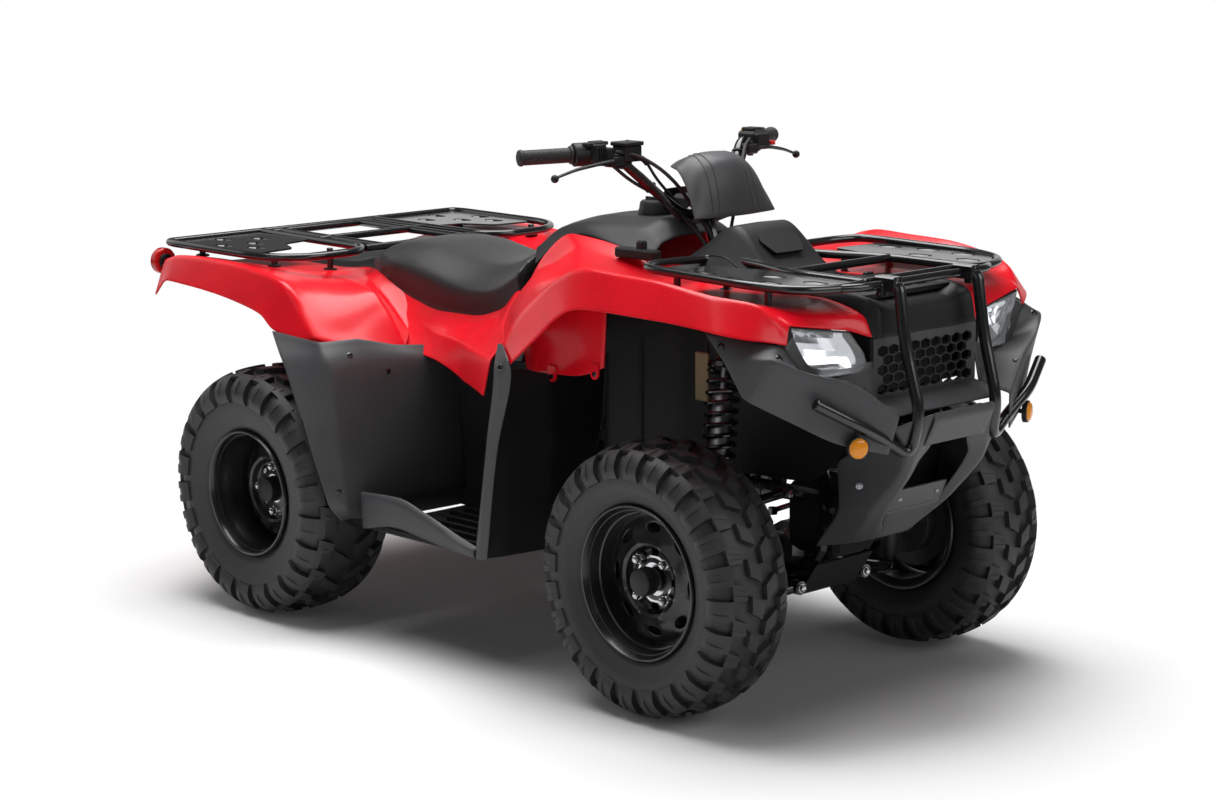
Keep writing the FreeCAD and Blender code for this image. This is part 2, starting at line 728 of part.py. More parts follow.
def front_diff():
    y = 56.0
    case = turned(V(front_axle_x, -y, front_tyre_radius), V(0, 1, 0),
                  [(0, 0), (0, 40), (20, 58), (2 * y - 20, 58), (2 * y, 40), (2 * y, 0)], 12)
    nose = rod(V(front_axle_x, 0, front_tyre_radius), V(front_axle_x - 163.5, 0, front_tyre_radius - 7.5), 26.0)
    foot_top = front_tyre_radius - 22.5
    foot_low = front_rail_z + 10.0 + seat_fit
    fore, aft = front_axle_x + 66.5, front_axle_x - 67.5
    feet = [box(x - 9.0, x + 9.0, -40.0, 40.0, foot_low, foot_top) for x in (fore, aft)]
    webs = box(aft, fore, -12.0, 12.0, foot_top - 13.0, foot_top)
    return case.fuse([nose, webs] + feet)


def drive_shaft():
    y = -56.0 - seat_fit
    base = V(front_axle_x, y, front_tyre_radius)
    end = king_y - 18.0 - 6.0 - 56.0 - seat_fit
    outline = [(0, 0), (0, 34), (30, 34), (60, 16), (60, 12), (end - 50, 12), (end - 50, 16), (end - 24, 32),
               (end, 32), (end, 0)]
    return turned(base, V(0, -1, 0), outline, 10)


rear_shock_top = P(-450.0, 0.0, 680.0)
rear_shock_low = V(rear_axle_x + 82.0, 0.0, rear_tyre_radius + 66.0)


# The two lugs on either side of a damper's eye.
def clevis(a, b, width):
    side = b.sub(a).cross(V(0, 1, 0)).normalize() * (width / 2.0)
    corners = [a.add(side), b.add(side), b.sub(side), a.sub(side)]
    outline = [(p.x, p.z) for p in corners]
    return both_sides(extrude_xz(outline, 16.0 + seat_fit, 22.0))


def swingarm():
    axle = V(rear_axle_x, 0, rear_tyre_radius)
    pivot = P(-330.0, 0, 318.0)
    inner = rail_y - frame_tube - seat_fit
    pivot_rod = rod(V(pivot.x, -inner, pivot.z), V(pivot.x, inner, pivot.z), 17.0)
    arms = side_tubes([V(pivot.x, -44.0, pivot.z), V(pivot.x - 100.0, -60.0, pivot.z), V(rear_axle_x, -96.0, axle.z)], 20.0,
                      60.0)
    housing = turned(V(rear_axle_x, -250.0, axle.z), V(0, 1, 0), [(0, 0), (0, 36), (500, 36), (500, 0)], 12)
    case = turned(V(rear_axle_x, -60.0, axle.z), V(0, 1, 0),
                  [(0, 0), (0, 60), (24, case_radius), (96, case_radius), (120, 60), (120, 0)], 14)
    far = rear_shock_low.add(rear_shock_low.sub(axle).normalize() * 16.0)
    whole = arms[0].fuse([arms[1], housing, case, pivot_rod] + clevis(axle, far, 34.0))
    room = round_cut(V(rear_axle_x, -300, axle.z), V(rear_axle_x, 300, axle.z), axle_radius + running_gap)
    return whole.cut(room)


def rear_axle():
    reach = rear_half_track - rear_disc_y + 10.0
    hub_face = rear_half_track - rear_disc_y - 16.0
    shaft = rod(V(rear_axle_x, -reach, rear_tyre_radius), V(rear_axle_x, reach, rear_tyre_radius), axle_radius, 12)
    hubs = []
    for side in (-1, 1):
        a = V(rear_axle_x, side * 262.0, rear_tyre_radius)
        b = V(rear_axle_x, side * hub_face, rear_tyre_radius)
        length = hub_face - 262.0
        way = b.sub(a)
        hubs.append(turned(a, way, [(0, 0), (0, 30), (length - 60, 30), (length - 12, 58), (length, 58),
                                    (length, 0)], 12))
    return shaft.fuse(hubs)


def rear_shock():
    top = rear_shock_top
    low = rear_shock_low
    way = low.sub(top).normalize()
    length = low.sub(top).Length
    outline = [(8.0, 0.0), (8.0, 14.0), (40.0, 14.0), (40.0, 40.0)]
    turns = 5
    for k in range(turns):
        outline.append((42.0 + (length - 100.0) * k / turns, 40.0))
        outline.append((42.0 + (length - 100.0) * (k + 0.5) / turns, 32.0))
    outline += [(length - 56.0, 40.0), (length - 48.0, 40.0), (length - 48.0, 12.0), (length - 8.0, 12.0),
                (length - 8.0, 0.0)]
    body = turned(top, way, outline, 8)
    eyes = [rod(c.add(V(0, -16, 0)), c.add(V(0, 16, 0)), eye_radius) for c in (top, low)]
    return body.fuse(eyes)


rack_foot = 7.0
front_rack_feet = (600.0, 740.0)
rear_rack_feet = (-720.0, -960.0)


# Bodywork. Points are x, y, z on the outer face of the right side, and rows run from the
# rear to the front of the bike, each from its outer edge inwards.

def front_fender():
    inner = -spine_y
    rows = [
        [(245, -500, 718), (190, -470, 745), (120, -400, 752), (0, -300, 752), (-100, -215, 745), (-148, -194, 742)],
        [(336, -500, 788), (228, -470, 802), (150, -400, 806), (40, -300, 800), (-60, -215, 792), (-82, -193, 786)],
        [(395, -500, 834), (304, -470, 870), (230, -410, 858), (100, -300, 850), (0, -215, 850), (-22, -193, 848)],
        [(439, -500, 856), (371, -470, 917), (330, -425, 896), (200, -300, 880), (70, -200, 895), (12, -184, 900)],
        [(482, -500, 863), (421, -470, 939), (385, -430, 915), (260, -300, 890), (150, -196, 935), (93, inner, 958)],
        [(552, -500, 864), (471, -470, 947), (450, -428, 925), (350, -300, 890), (260, -196, 922), (250, inner, 945)],
        [(640, -500, 863), (560, -468, 944), (555, -425, 920), (480, -300, 886), (420, -200, 890), (410, inner, 900)],
        [(721, -500, 862), (658, -468, 941), (655, -425, 916), (640, -300, 884), (620, -200, 884), (615, inner, 886)],
        [(845, -490, 853), (800, -456, 922), (795, -420, 908), (780, -300, 884), (770, -200, 884), (765, inner, 890)],
        [(903, -455, 842), (887, -410, 906), (885, -380, 897), (872, -300, 884), (855, -200, 886), (850, inner, 890)],
        [(938, -408, 833), (914, -398, 886), (916, -372, 882), (935, -300, 876), (962, -215, 864), (970, inner, 862)],
        [(951, -384, 827), (949, -380, 842), (945, -372, 866), (957, -300, 854), (971, -215, 840), (991, inner, 823)],
    ]
    return plate(rows)


# Inside the wheel arch the fender has a second wall with two fixing tabs.
def inner_wall(fender):
    rows = [
        [(80, -300, 662), (62, -300, 720), (50, -300, 790)],
        [(176, -345, 672), (170, -345, 740), (160, -345, 830)],
        [(300, -352, 680), (305, -352, 770), (320, -352, 864)],
        [(385, -352, 708), (390, -352, 780), (395, -352, 872)],
    ]
    wall = plate(rows)
    tabs = [body_box(x - 9.0, x + 9.0, -352.0, -348.0, z - 26.0, z + 10.0) for x, z in ((230.0, 682.0), (350.0, 704.0))]
    post = stay(P(330.0, -350.0, 846.0), P(330.0, -350.0, 930.0), 6.0, fender)
    return fused([wall, post] + tabs)


def side_cover():
    rows = [
        [(-348, -250, 647), (-415, -218, 700), (-465, -196, 735)],
        [(-250, -277, 634), (-300, -238, 693), (-360, -196, 715)],
        [(-175, -298, 622), (-190, -270, 709), (-226, -196, 718)],
        [(-110, -320, 612), (-95, -318, 700), (-150, -196, 737)],
        [(-5, -385, 617), (-10, -362, 700), (0, -300, 744)],
        [(95, -447, 622), (112, -440, 703), (165, -452, 738)],
    ]
    return plate(rows)


def rear_fender():
    inner = -deck_y
    rows = [
        [(-1054, -530, 742), (-1032, -512, 832), (-1040, -440, 830), (-1050, -300, 806), (-1055, inner, 800)],
        [(-1000, -531, 783), (-978, -513, 846), (-985, -440, 835), (-990, -300, 808), (-990, inner, 800)],
        [(-905, -532, 779), (-880, -513, 851), (-885, -440, 838), (-890, -300, 808), (-890, inner, 800)],
        [(-800, -532, 771), (-772, -513, 850), (-780, -440, 838), (-790, -300, 808), (-790, inner, 800)],
        [(-690, -532, 756), (-655, -513, 841), (-680, -440, 834), (-690, -300, 812), (-690, inner, 804)],
        [(-614, -532, 739), (-548, -513, 821), (-575, -440, 815), (-600, -300, 806), (-620, -190, 790)],
        [(-562, -530, 706), (-490, -505, 758), (-470, -430, 756), (-470, -300, 786), (-575, -215, 768)],
        [(-480, -520, 692), (-436, -505, 701), (-410, -420, 694), (-420, -296, 742), (-520, -215, 722)],
        [(-440, -510, 684), (-425, -490, 688), (-365, -400, 656), (-362, -292, 662), (-440, -218, 690)],
    ]
    return plate(rows)


# The mudguard stands between the rear tyre and the rider's foot, open round the tyre.
def mudguard():
    rows = [
        [(-320, -530, 281), (-318, -500, 282), (-312, -420, 268), (-306, -300, 268), (-300, -180, 268)],
        [(-322, -566, 330), (-298, -530, 321), (-296, -420, 321), (-290, -300, 321), (-284, -180, 321)],
        [(-368, -584, 480), (-330, -530, 486), (-318, -420, 480), (-304, -300, 480), (-296, -180, 480)],
        [(-410, -584, 560), (-342, -530, 560), (-330, -420, 560), (-312, -300, 560), (-304, -180, 560)],
        [(-470, -574, 645), (-358, -530, 645), (-342, -420, 645), (-322, -300, 636), (-316, -180, 620)],
        [(-560, -536, 704), (-398, -524, 690), (-370, -430, 686), (-350, -330, 652), (-340, -235, 640)],
    ]
    return plate(rows, -panel)


# The footboard tray with its outer edge, and the black side wall over the frame.
def footwell(shield):
    back = -283.0
    front = 118.0
    floor = body_box(back, front, -488.0, -168.0, 262.0, 268.0)
    edge = body_profile([(-283.0, 267.0), (-158.0, 290.0), (112.0, 262.0), (112.0, 282.0), (-60.0, 330.0),
                       (-156.0, 352.0), (-283.0, 347.0)], -494.0, -488.0)
    wall = body_profile([(back, 268.0), (front, 268.0), (205.0, 560.0), (-292.0, 560.0)], -174.0, -168.0)
    hold = stay(P(110.0, -171.0, 450.0), P(260.0, -250.0, 450.0), 7.0, shield)
    return floor.fuse([edge, wall, hold])


# The black leg shield behind the front wheel and the grey strip along its outer edge.
def liner():
    rows = [
        [(134, -488, 262), (150, -440, 262), (165, -330, 262), (150, -180, 262)],
        [(176, -488, 500), (186, -440, 500), (200, -330, 500), (186, -180, 500)],
        [(212, -476, 690), (214, -440, 694), (218, -352, 668), (214, -180, 696)],
    ]
    return plate(rows, -panel)


def shield_strip():
    rows = [
        [(118, -496, 268), (130, -500, 262), (150, -492, 262)],
        [(160, -496, 520), (172, -503, 520), (192, -492, 520)],
        [(186, -492, 700), (208, -503, 690), (246, -498, 700)],
        [(180, -474, 752), (194, -476, 750), (246, -506, 724)],
    ]
    return plate(rows, -panel)


def tank_cover():
    edge = -spine_y + seat_fit
    rows = [
        [(-20, -180, 882), (-60, -150, 905), (-110, -108, 922), (-138, -50, 932), (-142, 0, 934)],
        [(50, edge + 3.0, 940), (30, -150, 955), (0, -120, 974), (-10, -60, 990), (-10, 0, 992)],
        [(130, edge + 3.0, 961), (130, -155, 972), (132, -125, 988), (132, -60, 1003), (132, 0, 1005)],
        [(250, edge, 946), (255, -155, 955), (262, -122, 980), (270, -60, 997), (270, 0, 999)],
        [(340, edge, 930), (340, -152, 936), (330, -118, 955), (325, -60, 965), (325, 0, 967)],
    ]
    return plate([whole_row(row) for row in rows])


# The seat is one cushion: rings from its tail to the tank, each given by its x, the height
# of its foot, half width, shoulder and top.
seat_rings = [
    (-672.0, 812.0, 120.0, 826.0, 838.0),
    (-650.0, 800.0, 168.0, 836.0, 858.0),
    (-560.0, 772.0, 186.0, 846.0, 876.0),
    (-464.0, 742.0, 190.0, 838.0, 874.0),
    (-331.0, 718.0, 190.0, 812.0, 858.0),
    (-226.0, 724.0, 188.0, 800.0, 854.0),
    (-150.0, 746.0, 186.0, 820.0, 872.0),
    (-80.0, 796.0, 180.0, 858.0, 906.0),
]


def seat_bottom(x):
    for near, far in zip(seat_rings, seat_rings[1:]):
        if near[0] <= x <= far[0]:
            return near[1] + (far[1] - near[1]) * (x - near[0]) / (far[0] - near[0])
    return seat_rings[0][1]


def seat():
    sections = []
    for x, bottom, half, side, top in seat_rings:
        sections.append([(x, -half + 6.0, bottom), (x, -half - 2.0, side - 20.0), (x, -half + 22.0, side),
                         (x, 0.0, top), (x, half - 22.0, side), (x, half + 2.0, side - 20.0),
                         (x, half - 6.0, bottom)])
    return loft(sections)


def rear_deck():
    edge = -deck_y + seat_fit
    rows = [
        [(-1055, edge, 796), (-1050, -120, 800), (-1050, 0, 800)],
        [(-760, edge, 796), (-760, -120, 812), (-760, 0, 812)],
        [(-690, edge, 798), (-685, -120, 826), (-685, 0, 830)],
    ]
    return plate([whole_row(row) for row in rows])


# The console in front of the bar, with its plain badge face.
def nose_console():
    edge = -spine_y + seat_fit
    rows = [
        [(342, edge, 926), (420, -150, 918), (430, -98, 948), (432, 0, 952)],
        [(452, edge + 0.6, 893), (521, -148, 900), (521, -83, 1004), (521, 0, 1006)],
        [(560, edge + 0.6, 886), (600, -145, 888), (618, -94, 926), (618, 0, 928)],
        [(640, edge, 884), (655, -145, 886), (660, -98, 892), (662, 0, 894)],
    ]
    return plate([whole_row(row) for row in rows])


# The hood ends in a turned-down face with two shoulders over the bumper's uprights.
def hood():
    edge = -spine_y + seat_fit
    rows = [
        [(641, edge, 883), (656, -145, 885), (661, -98, 891), (663, 0, 893)],
        [(760, edge, 889), (770, -150, 902), (770, -98, 892), (770, 0, 892)],
        [(850, edge, 889), (900, -150, 906), (900, -98, 890), (900, 0, 890)],
        [(971, edge, 861), (990, -150, 884), (984, -92, 868), (980, 0, 870)],
        [(990, edge, 821), (1004, -150, 822), (996, -92, 818), (992, 0, 818)],
    ]
    return plate([whole_row(row) for row in rows])


# The grille: a plate with rows of hexagonal windows over a sloping sill.
def grille():
    back = 984.0
    top = 817.0
    plate_face = extrude_yz([(-166.0, 694.0), (166.0, 694.0), (166.0, top), (-166.0, top)], back, back + 7.0)
    across = 44.0
    size = 22.0
    rise = across * 0.86
    windows = []
    for row in range(3):
        for column in range(-3, 4):
            y = column * across + (across / 2.0 if row % 2 else 0.0)
            if abs(y) > 150.0:
                continue
            z = 720.0 + row * rise
            points = [(y + size * math.sin(math.radians(60 * k)), z + size * math.cos(math.radians(60 * k)))
                      for k in range(6)]
            windows.append(extrude_yz(points, back - 4.0, back + 12.0))
    sill = body_profile([(back, 694.0), (back + 7.0, 694.0), (1062.0, 668.0), (1062.0, 662.0)], -166.0, 166.0)
    return plate_face.cut(windows).fuse(sill)


# The lamp's front follows the fender's edge and sweeps back outwards.
def headlamp():
    rows = [
        [(986, -176, 752), (966, -212, 833)],
        [(970, -288, 750), (954, -290, 845)],
        [(954, -320, 768), (949, -335, 852)],
        [(945, -357, 826), (944, -366, 857)],
    ]
    return plate(rows, -lamp_depth)


def wing_guard():
    rows = [
        [(905, -463, 725), (856, -463, 790), (802, -462, 843)],
        [(918, -460, 718), (955, -440, 803), (944, -395, 822)],
        [(968, -380, 668), (1000, -372, 775), (957, -324, 754)],
        [(1018, -300, 622), (1040, -280, 745), (975, -240, 742)],
        [(1064, -200, 592), (1078, -182, 672), (1000, -168, 690)],
    ]
    return plate(rows)


# The centre guard: a beam with two legs over the sump, and side walls back to the frame.
def centre_guard():
    leg = [
        [(1004, -170, 640), (1058, -176, 640), (1101, -94, 665), (1090, -80, 650)],
        [(985, -165, 596), (1064, -150, 596), (1074, -110, 596), (1063, -60, 596)],
        [(885, -150, 535), (1052, -136, 551), (1060, -120, 549), (1043, -85, 548)],
        [(890, -150, 452), (972, -136, 452), (985, -105, 452), (966, -84, 440)],
        [(812, -132, 345), (880, -90, 357), (905, -60, 364), (912, -41, 366)],
    ]
    side = plate(leg, guard_wall)
    beam = plate([[(1100, -95, 665), (1075, -95, 597)], [(1100, 95, 665), (1075, 95, 597)]], -guard_wall)
    cross = plate([[(992, -78, 484), (964, -86, 436)], [(992, 78, 484), (964, 86, 436)]], -guard_wall)
    chin = plate([[(964, -86, 434), (912, -42, 366)], [(964, 86, 434), (912, 42, 366)]], -guard_wall)
    return fused([side, mirrored(side), beam, cross, chin])


def front_rack_loop():
    z = front_rack_z
    return [P(rack_front_x, 0.0, z), P(rack_front_x - 22.0, -240.0, z), P(930.0, -345.0, z), P(546.0, -352.0, z),
            P(560.0, -rack_inner_y, z), P(rack_front_x - 14.0, -rack_inner_y, z)]


# The bumper: two uprights clamped to the rack, a lower bar and the swept side tubes.
def bumper(guard):
    top = front_rack_z
    upright = tube([P(1012.0, -124.0, top), P(1046.0, -127.0, top - 22.0), P(1083.0, -125.0, 690.0)], bumper_tube, 30.0)
    side = tube([P(1012.0, -363.0, 713.0), P(1083.0, -230.0, 690.0), P(1083.0, -120.0, 690.0)], bumper_tube, 40.0)
    bar = cross_tube(1083.0, 130.0, 690.0, bumper_tube)
    bracket = body_box(960.0, 1026.0, -140.0, -108.0, top - 14.0, top + 14.0)
    clamp = bracket.cut(tube(front_rack_loop(), rack_tube + seat_fit, 44.0))
    hold = stay(P(1070.0, -112.0, 690.0), P(1070.0, -112.0, 600.0), 8.0, guard)
    return fused(both_sides(upright) + both_sides(side) + [bar] + both_sides(clamp) + both_sides(hold))


# Racks: bent tube loops with pressed side plates, on feet that stand on the fenders.
def front_rack(fender):
    z = front_rack_z
    right = tube(front_rack_loop(), rack_tube, 44.0)
    plate_shape = extrude_xy([(560.0, -rack_inner_y), (590.0, -346.0), (925.0, -342.0), (958.0, -rack_inner_y)],
                       z - 2.0, z + 2.0)
    feet = [stay(P(x, -346.0, z), P(x, -346.0, 800.0), rack_foot, fender) for x in front_rack_feet]
    halves = [right, plate_shape] + feet
    bars = [cross_tube(rack_mid_x, rack_inner_y, z, rack_tube)]
    return fused(halves + [mirrored(s) for s in halves] + bars)


def rear_rack(fender):
    z = rear_rack_z
    inner = rear_rack_inner_y
    loop = [P(rear_rack_x, 0.0, z), P(rear_rack_x, -470.0, z), P(-680.0, -476.0, z), P(-596.0, -400.0, z),
            P(-600.0, -inner, z), P(rear_rack_x, -inner, z)]
    right = tube(loop, rack_tube, 50.0)
    plate_shape = extrude_xy([(-700.0, -inner), (-700.0, -472.0), (-1040.0, -468.0), (-1068.0, -440.0),
                        (-1068.0, -inner)], z - 2.0, z + 2.0)
    feet = [stay(P(x, -330.0, z), P(x, -330.0, 750.0), rack_foot, fender) for x in rear_rack_feet]
    halves = [right, plate_shape] + feet
    bars = [cross_tube(-850.0, inner, z, rack_tube)]
    return fused(halves + [mirrored(s) for s in halves] + bars)


def tail_lamp(fender):
    lens = rod(P(-1105.0, -487.0, 822.0), P(-1082.0, -487.0, 822.0), 35.0, 12)
    arm = body_box(-1090.0, -1024.0, -495.0, -479.0, 808.0, 814.0)
    neck = stay(P(-1030.0, -487.0, 810.0), P(-1030.0, -487.0, 880.0), 6.0, fender)
    return lens.fuse([arm, neck])


def reflector(guard):
    a = P(1046.0, -275.0, 614.0)
    way = V(1.0, -0.45, 0)
    disc = turned(a, way, [(0, 0), (0, 23), (10, 23), (14, 18), (14, 0)], 12)
    stem = stay(a.add(way.normalize() * 2.0), a.sub(way * 80.0), 6.0, guard)
    return disc.fuse(stem)


def hitch():
    x, z = rear_axle_x, rear_tyre_radius
    plate = box(x - 166.5, x - 81.5, -40.0, 40.0, z - 13.0, z - 5.0)
    arm = box(x - 86.5, x - 66.5, -24.0, 24.0, z - 23.0, z + 27.0)
    hole = round_cut(V(x - 136.5, 0, z - 23.0), V(x - 136.5, 0, z + 7.0), hitch_hole / 2.0)
    axle_room = rod(V(x, -60.0, z), V(x, 60.0, z), case_radius + seat_fit / math.cos(math.pi / 14.0), 14)
    return plate.fuse(arm).cut(hole).cut(axle_room)


def write(name, *shapes):
    solids = [s for shape in shapes for s in shape.Solids]
    solids = [one.removeSplitter() for one in solids]
    whole = solids[0] if len(solids) == 1 else Part.makeCompound(solids)
    whole.exportStep("parts/" + name + ".step")
    made[name] = whole
    print(name, len(solids), "solids", round(whole.Volume / 1e3), "cm3")


made = {}
os.makedirs("parts", exist_ok=True)


fender, rear = front_fender(), rear_fender()
lamp, wing = headlamp(), wing_guard()
cover, deck = side_cover(), rear_deck()
shield = liner()
guard, foot = mudguard(), footwell(shield)
side_guard = centre_guard()
front_right = front_tyre()
write("front_tyre_right", placed_wheel(front_right, front_axle_x, -front_half_track, front_tyre_radius))
write("front_tyre_left", placed_wheel(front_right, front_axle_x, front_half_track, front_tyre_radius))
rear_right = rear_tyre()
write("rear_tyre_right", placed_wheel(rear_right, rear_axle_x, -rear_half_track, rear_tyre_radius))
write("rear_tyre_left", placed_wheel(rear_right, rear_axle_x, rear_half_track, rear_tyre_radius))
front_rim = rim(front_rim_radius, front_rim_width, front_disc_y, 30.0)
write("front_rim_right", placed_wheel(front_rim, front_axle_x, -front_half_track, front_tyre_radius))
write("front_rim_left", placed_wheel(front_rim, front_axle_x, front_half_track, front_tyre_radius))
rear_rim = rim(rear_rim_radius, rear_rim_width, rear_disc_y, 30.0)
write("rear_rims", placed_wheel(rear_rim, rear_axle_x, -rear_half_track, rear_tyre_radius),
      placed_wheel(rear_rim, rear_axle_x, rear_half_track, rear_tyre_radius))
write("front_hub_right", front_hub())
write("front_hub_left", mirrored(front_hub()))
write("rear_axle", rear_axle())
write("knuckle_right", knuckle())
write("knuckle_left", mirrored(knuckle()))
write("tie_rod_right", tie_rod())
write("tie_rod_left", mirrored(tie_rod()))
write("steering_stem", steering_stem())
write("handlebar", handlebar())
write("grips", *both_sides(grip()))
write("controls_right", controls(True))
write("controls_left", mirrored(controls(False)))
write("handlebar_cover", handlebar_cover())
write("frame_lower", frame_lower())
write("frame_front", frame_front(fender, lamp, side_guard))
write("frame_upper", frame_upper(cover, deck, guard, foot))
write("skid_plate", skid_plate())
write("engine", engine())
write("exhaust", exhaust())
write("front_diff", front_diff())
write("drive_shafts", *both_sides(drive_shaft()))
write("swingarm", swingarm())
write("rear_shock", rear_shock())
write("lower_arms", *both_sides(lower_arm()))
write("upper_arms", *both_sides(upper_arm()))
write("front_shocks", *both_sides(front_shock()))
write("front_fenders", *both_sides(fender))
write("rear_fenders", *both_sides(rear))
write("side_covers", *both_sides(cover))
write("mudguards", *both_sides(guard))
write("footwells", *both_sides(foot))
write("liners", *both_sides(shield))
write("shield_strips", *both_sides(shield_strip()))
write("arch_walls", *both_sides(inner_wall(fender)))
write("tank_cover", tank_cover())
write("seat", seat())
write("rear_deck", deck)
write("nose_console", nose_console())
write("hood", hood())
write("grille", grille())
write("headlamps", *both_sides(lamp))
write("wing_guards", *both_sides(wing))
write("centre_guard", side_guard)
write("bumper", bumper(side_guard))
write("front_rack", front_rack(fender))
write("rear_rack", rear_rack(rear))
write("tail_lamps", *both_sides(tail_lamp(rear)))
write("reflectors", *both_sides(reflector(wing)))
write("hitch", hitch())
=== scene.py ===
import bpy
import json
import math
import numpy as np
from mathutils import Matrix, Vector, geometry


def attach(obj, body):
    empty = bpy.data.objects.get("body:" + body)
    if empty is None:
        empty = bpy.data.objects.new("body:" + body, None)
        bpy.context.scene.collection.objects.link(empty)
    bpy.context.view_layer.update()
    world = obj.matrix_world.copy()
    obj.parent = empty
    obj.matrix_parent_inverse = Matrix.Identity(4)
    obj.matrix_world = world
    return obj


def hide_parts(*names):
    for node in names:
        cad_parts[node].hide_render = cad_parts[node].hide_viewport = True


# A utility quad bike on a pale studio floor. Metres, +X forward, +Y to the rider's left,
# +Z up. Outlines are written in millimetres for the right side, and the left side is
# their mirror image.

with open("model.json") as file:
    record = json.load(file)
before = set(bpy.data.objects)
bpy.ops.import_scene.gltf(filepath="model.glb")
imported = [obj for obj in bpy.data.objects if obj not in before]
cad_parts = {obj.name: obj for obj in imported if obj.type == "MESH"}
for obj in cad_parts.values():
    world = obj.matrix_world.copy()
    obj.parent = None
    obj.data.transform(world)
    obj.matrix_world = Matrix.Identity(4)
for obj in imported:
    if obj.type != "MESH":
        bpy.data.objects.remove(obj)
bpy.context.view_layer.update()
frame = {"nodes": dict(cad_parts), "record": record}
mm = 0.001
skinWall = 4.0  # the usual thickness of a moulded panel, in mm


# Shader expressions

class Field:  # one shader socket that can stand in sums
    def __init__(self, tree, socket):
        self.tree, self.socket = tree, socket

    def combine(self, operation, other, swapped=False):  # one maths node on two values
        node = self.tree.nodes.new("ShaderNodeMath")
        node.operation = operation
        pair = (other, self) if swapped else (self, other)
        for value, slot in zip(pair, node.inputs):
            plug(self.tree, value, slot)
        return Field(self.tree, node.outputs[0])

    def __add__(self, other):
        return self.combine("ADD", other)

    def __radd__(self, other):
        return self.combine("ADD", other, True)

    def __sub__(self, other):
        return self.combine("SUBTRACT", other)

    def __rsub__(self, other):
        return self.combine("SUBTRACT", other, True)

    def __mul__(self, other):
        return self.combine("MULTIPLY", other)

    def __rmul__(self, other):
        return self.combine("MULTIPLY", other, True)

    def over(self, other):  # the greater of the two
        return self.combine("MAXIMUM", other)


def plug(tree, value, slot):  # links a socket, or sets a plain value
    if isinstance(value, Field):
        tree.links.new(value.socket, slot)
    else:
        slot.default_value = value


class Shade:  # a node tree whose nodes all come from one method
    def __init__(self, owner):
        owner.use_nodes = True
        self.owner, self.tree = owner, owner.node_tree
        self.tree.nodes.clear()

    # Makes a node, sets what it is given, plugs its inputs in and hands back one of its outputs.
    def node(self, kind, settings=None, inputs=None, output=0):
        made = self.tree.nodes.new(kind)
        for key, value in (settings or {}).items():
            setattr(made, key, value)
        for key, value in (inputs or {}).items():
            plug(self.tree, value, made.inputs[key])
        return Field(self.tree, made.outputs[output]) if made.outputs else None

    def place(self):  # the point in the object's own metres
        return self.node("ShaderNodeTexCoord", output="Object")

    def noise(self, scale, detail=2.0, roughness=0.5):
        return self.node("ShaderNodeTexNoise", None,
            {"Vector": self.place(), "Scale": scale, "Detail": detail, "Roughness": roughness})

    def cells(self, scale):
        return self.node("ShaderNodeTexVoronoi", {"feature": "F1"}, {"Vector": self.place(), "Scale": scale},
            "Distance")

    def mapped(self, value, low, high, first=0.0, last=1.0):  # a smooth step from first to last
        return self.node("ShaderNodeMapRange", {"interpolation_type": "SMOOTHSTEP"},
            {"Value": value, "From Min": low, "From Max": high, "To Min": first, "To Max": last})

    def mixed(self, share, first, second):  # colours go through the Mix node
        return self.node("ShaderNodeMix", {"data_type": "RGBA"}, {0: share, 6: first, 7: second}, 2)

    def bump(self, height, strength, distance):
        return self.node("ShaderNodeBump", None, {"Height": height, "Strength": strength,
            "Distance": distance})

    def surface(self, inputs):  # the usual shader, and the material it makes
        return self.finish(self.node("ShaderNodeBsdfPrincipled", None, inputs))

    def finish(self, shader, kind="ShaderNodeOutputMaterial"):  # gives back the material or world
        self.node(kind, None, {"Surface": shader})
        return self.owner


# Finishes: base colour, roughness and its spread; the rest where it differs from finishMaterial's own.
finishes = {
    "redPlastic": dict(colour=(0.72, 0.004, 0.014), rough=0.30, spread=0.05, coat=0.12, shine=0.3),
    "greyPlastic": dict(colour=(0.044, 0.045, 0.048), rough=0.50, spread=0.08, grain=0.9, depth=0.05),
    "blackPlastic": dict(colour=(0.01, 0.01, 0.011), rough=0.48, spread=0.1, grain=1.1, depth=0.06,
        shine=0.3),
    "blackSteel": dict(colour=(0.006, 0.006, 0.007), rough=0.22, spread=0.06, grain=3, depth=0.02, coat=0.4),
    "rimBlack": dict(colour=(0.007, 0.007, 0.008), rough=0.30, spread=0.06, grain=2.0, depth=0.02, coat=0.2),
    "rubberBlack": dict(colour=(0.012, 0.012, 0.012), rough=0.62, spread=0.10, grain=0.8, depth=0.05),
    "tyreRubber": dict(colour=(0.020, 0.020, 0.021), rough=0.55, spread=0.12, grain=1.4, depth=0.08),
    "castAluminium": dict(colour=(0.3, 0.3, 0.31), rough=0.48, spread=0.1, grain=1.5, depth=0.1, metal=0.9),
    "brightSteel": dict(colour=(0.55, 0.55, 0.57), rough=0.22, spread=0.08, metal=1.0),
    "darkChrome": dict(colour=(0.80, 0.80, 0.82), rough=0.08, spread=0.03, metal=1.0),
    "tanPlastic": dict(colour=(0.22, 0.17, 0.08), rough=0.50, spread=0.10, grain=1.0, depth=0.05),
    "yellowPlastic": dict(colour=(0.75, 0.50, 0.02), rough=0.40, spread=0.05),
    "dullSteel": dict(colour=(0.34, 0.34, 0.36), rough=0.34, spread=0.10, metal=1.0),
    "darkCast": dict(colour=(0.035, 0.036, 0.038), rough=0.48, spread=0.10, grain=1.5, depth=0.08),
    # near-black finish for painted shade: pieces that stand in for the shade behind the grille and between
    # the front wheels
    "deepBlack": dict(colour=(0.0015, 0.0015, 0.0015), rough=0.85, spread=0.05),
    "redPaint": dict(colour=(0.60, 0.010, 0.008), rough=0.30, spread=0.05, coat=0.3),
}


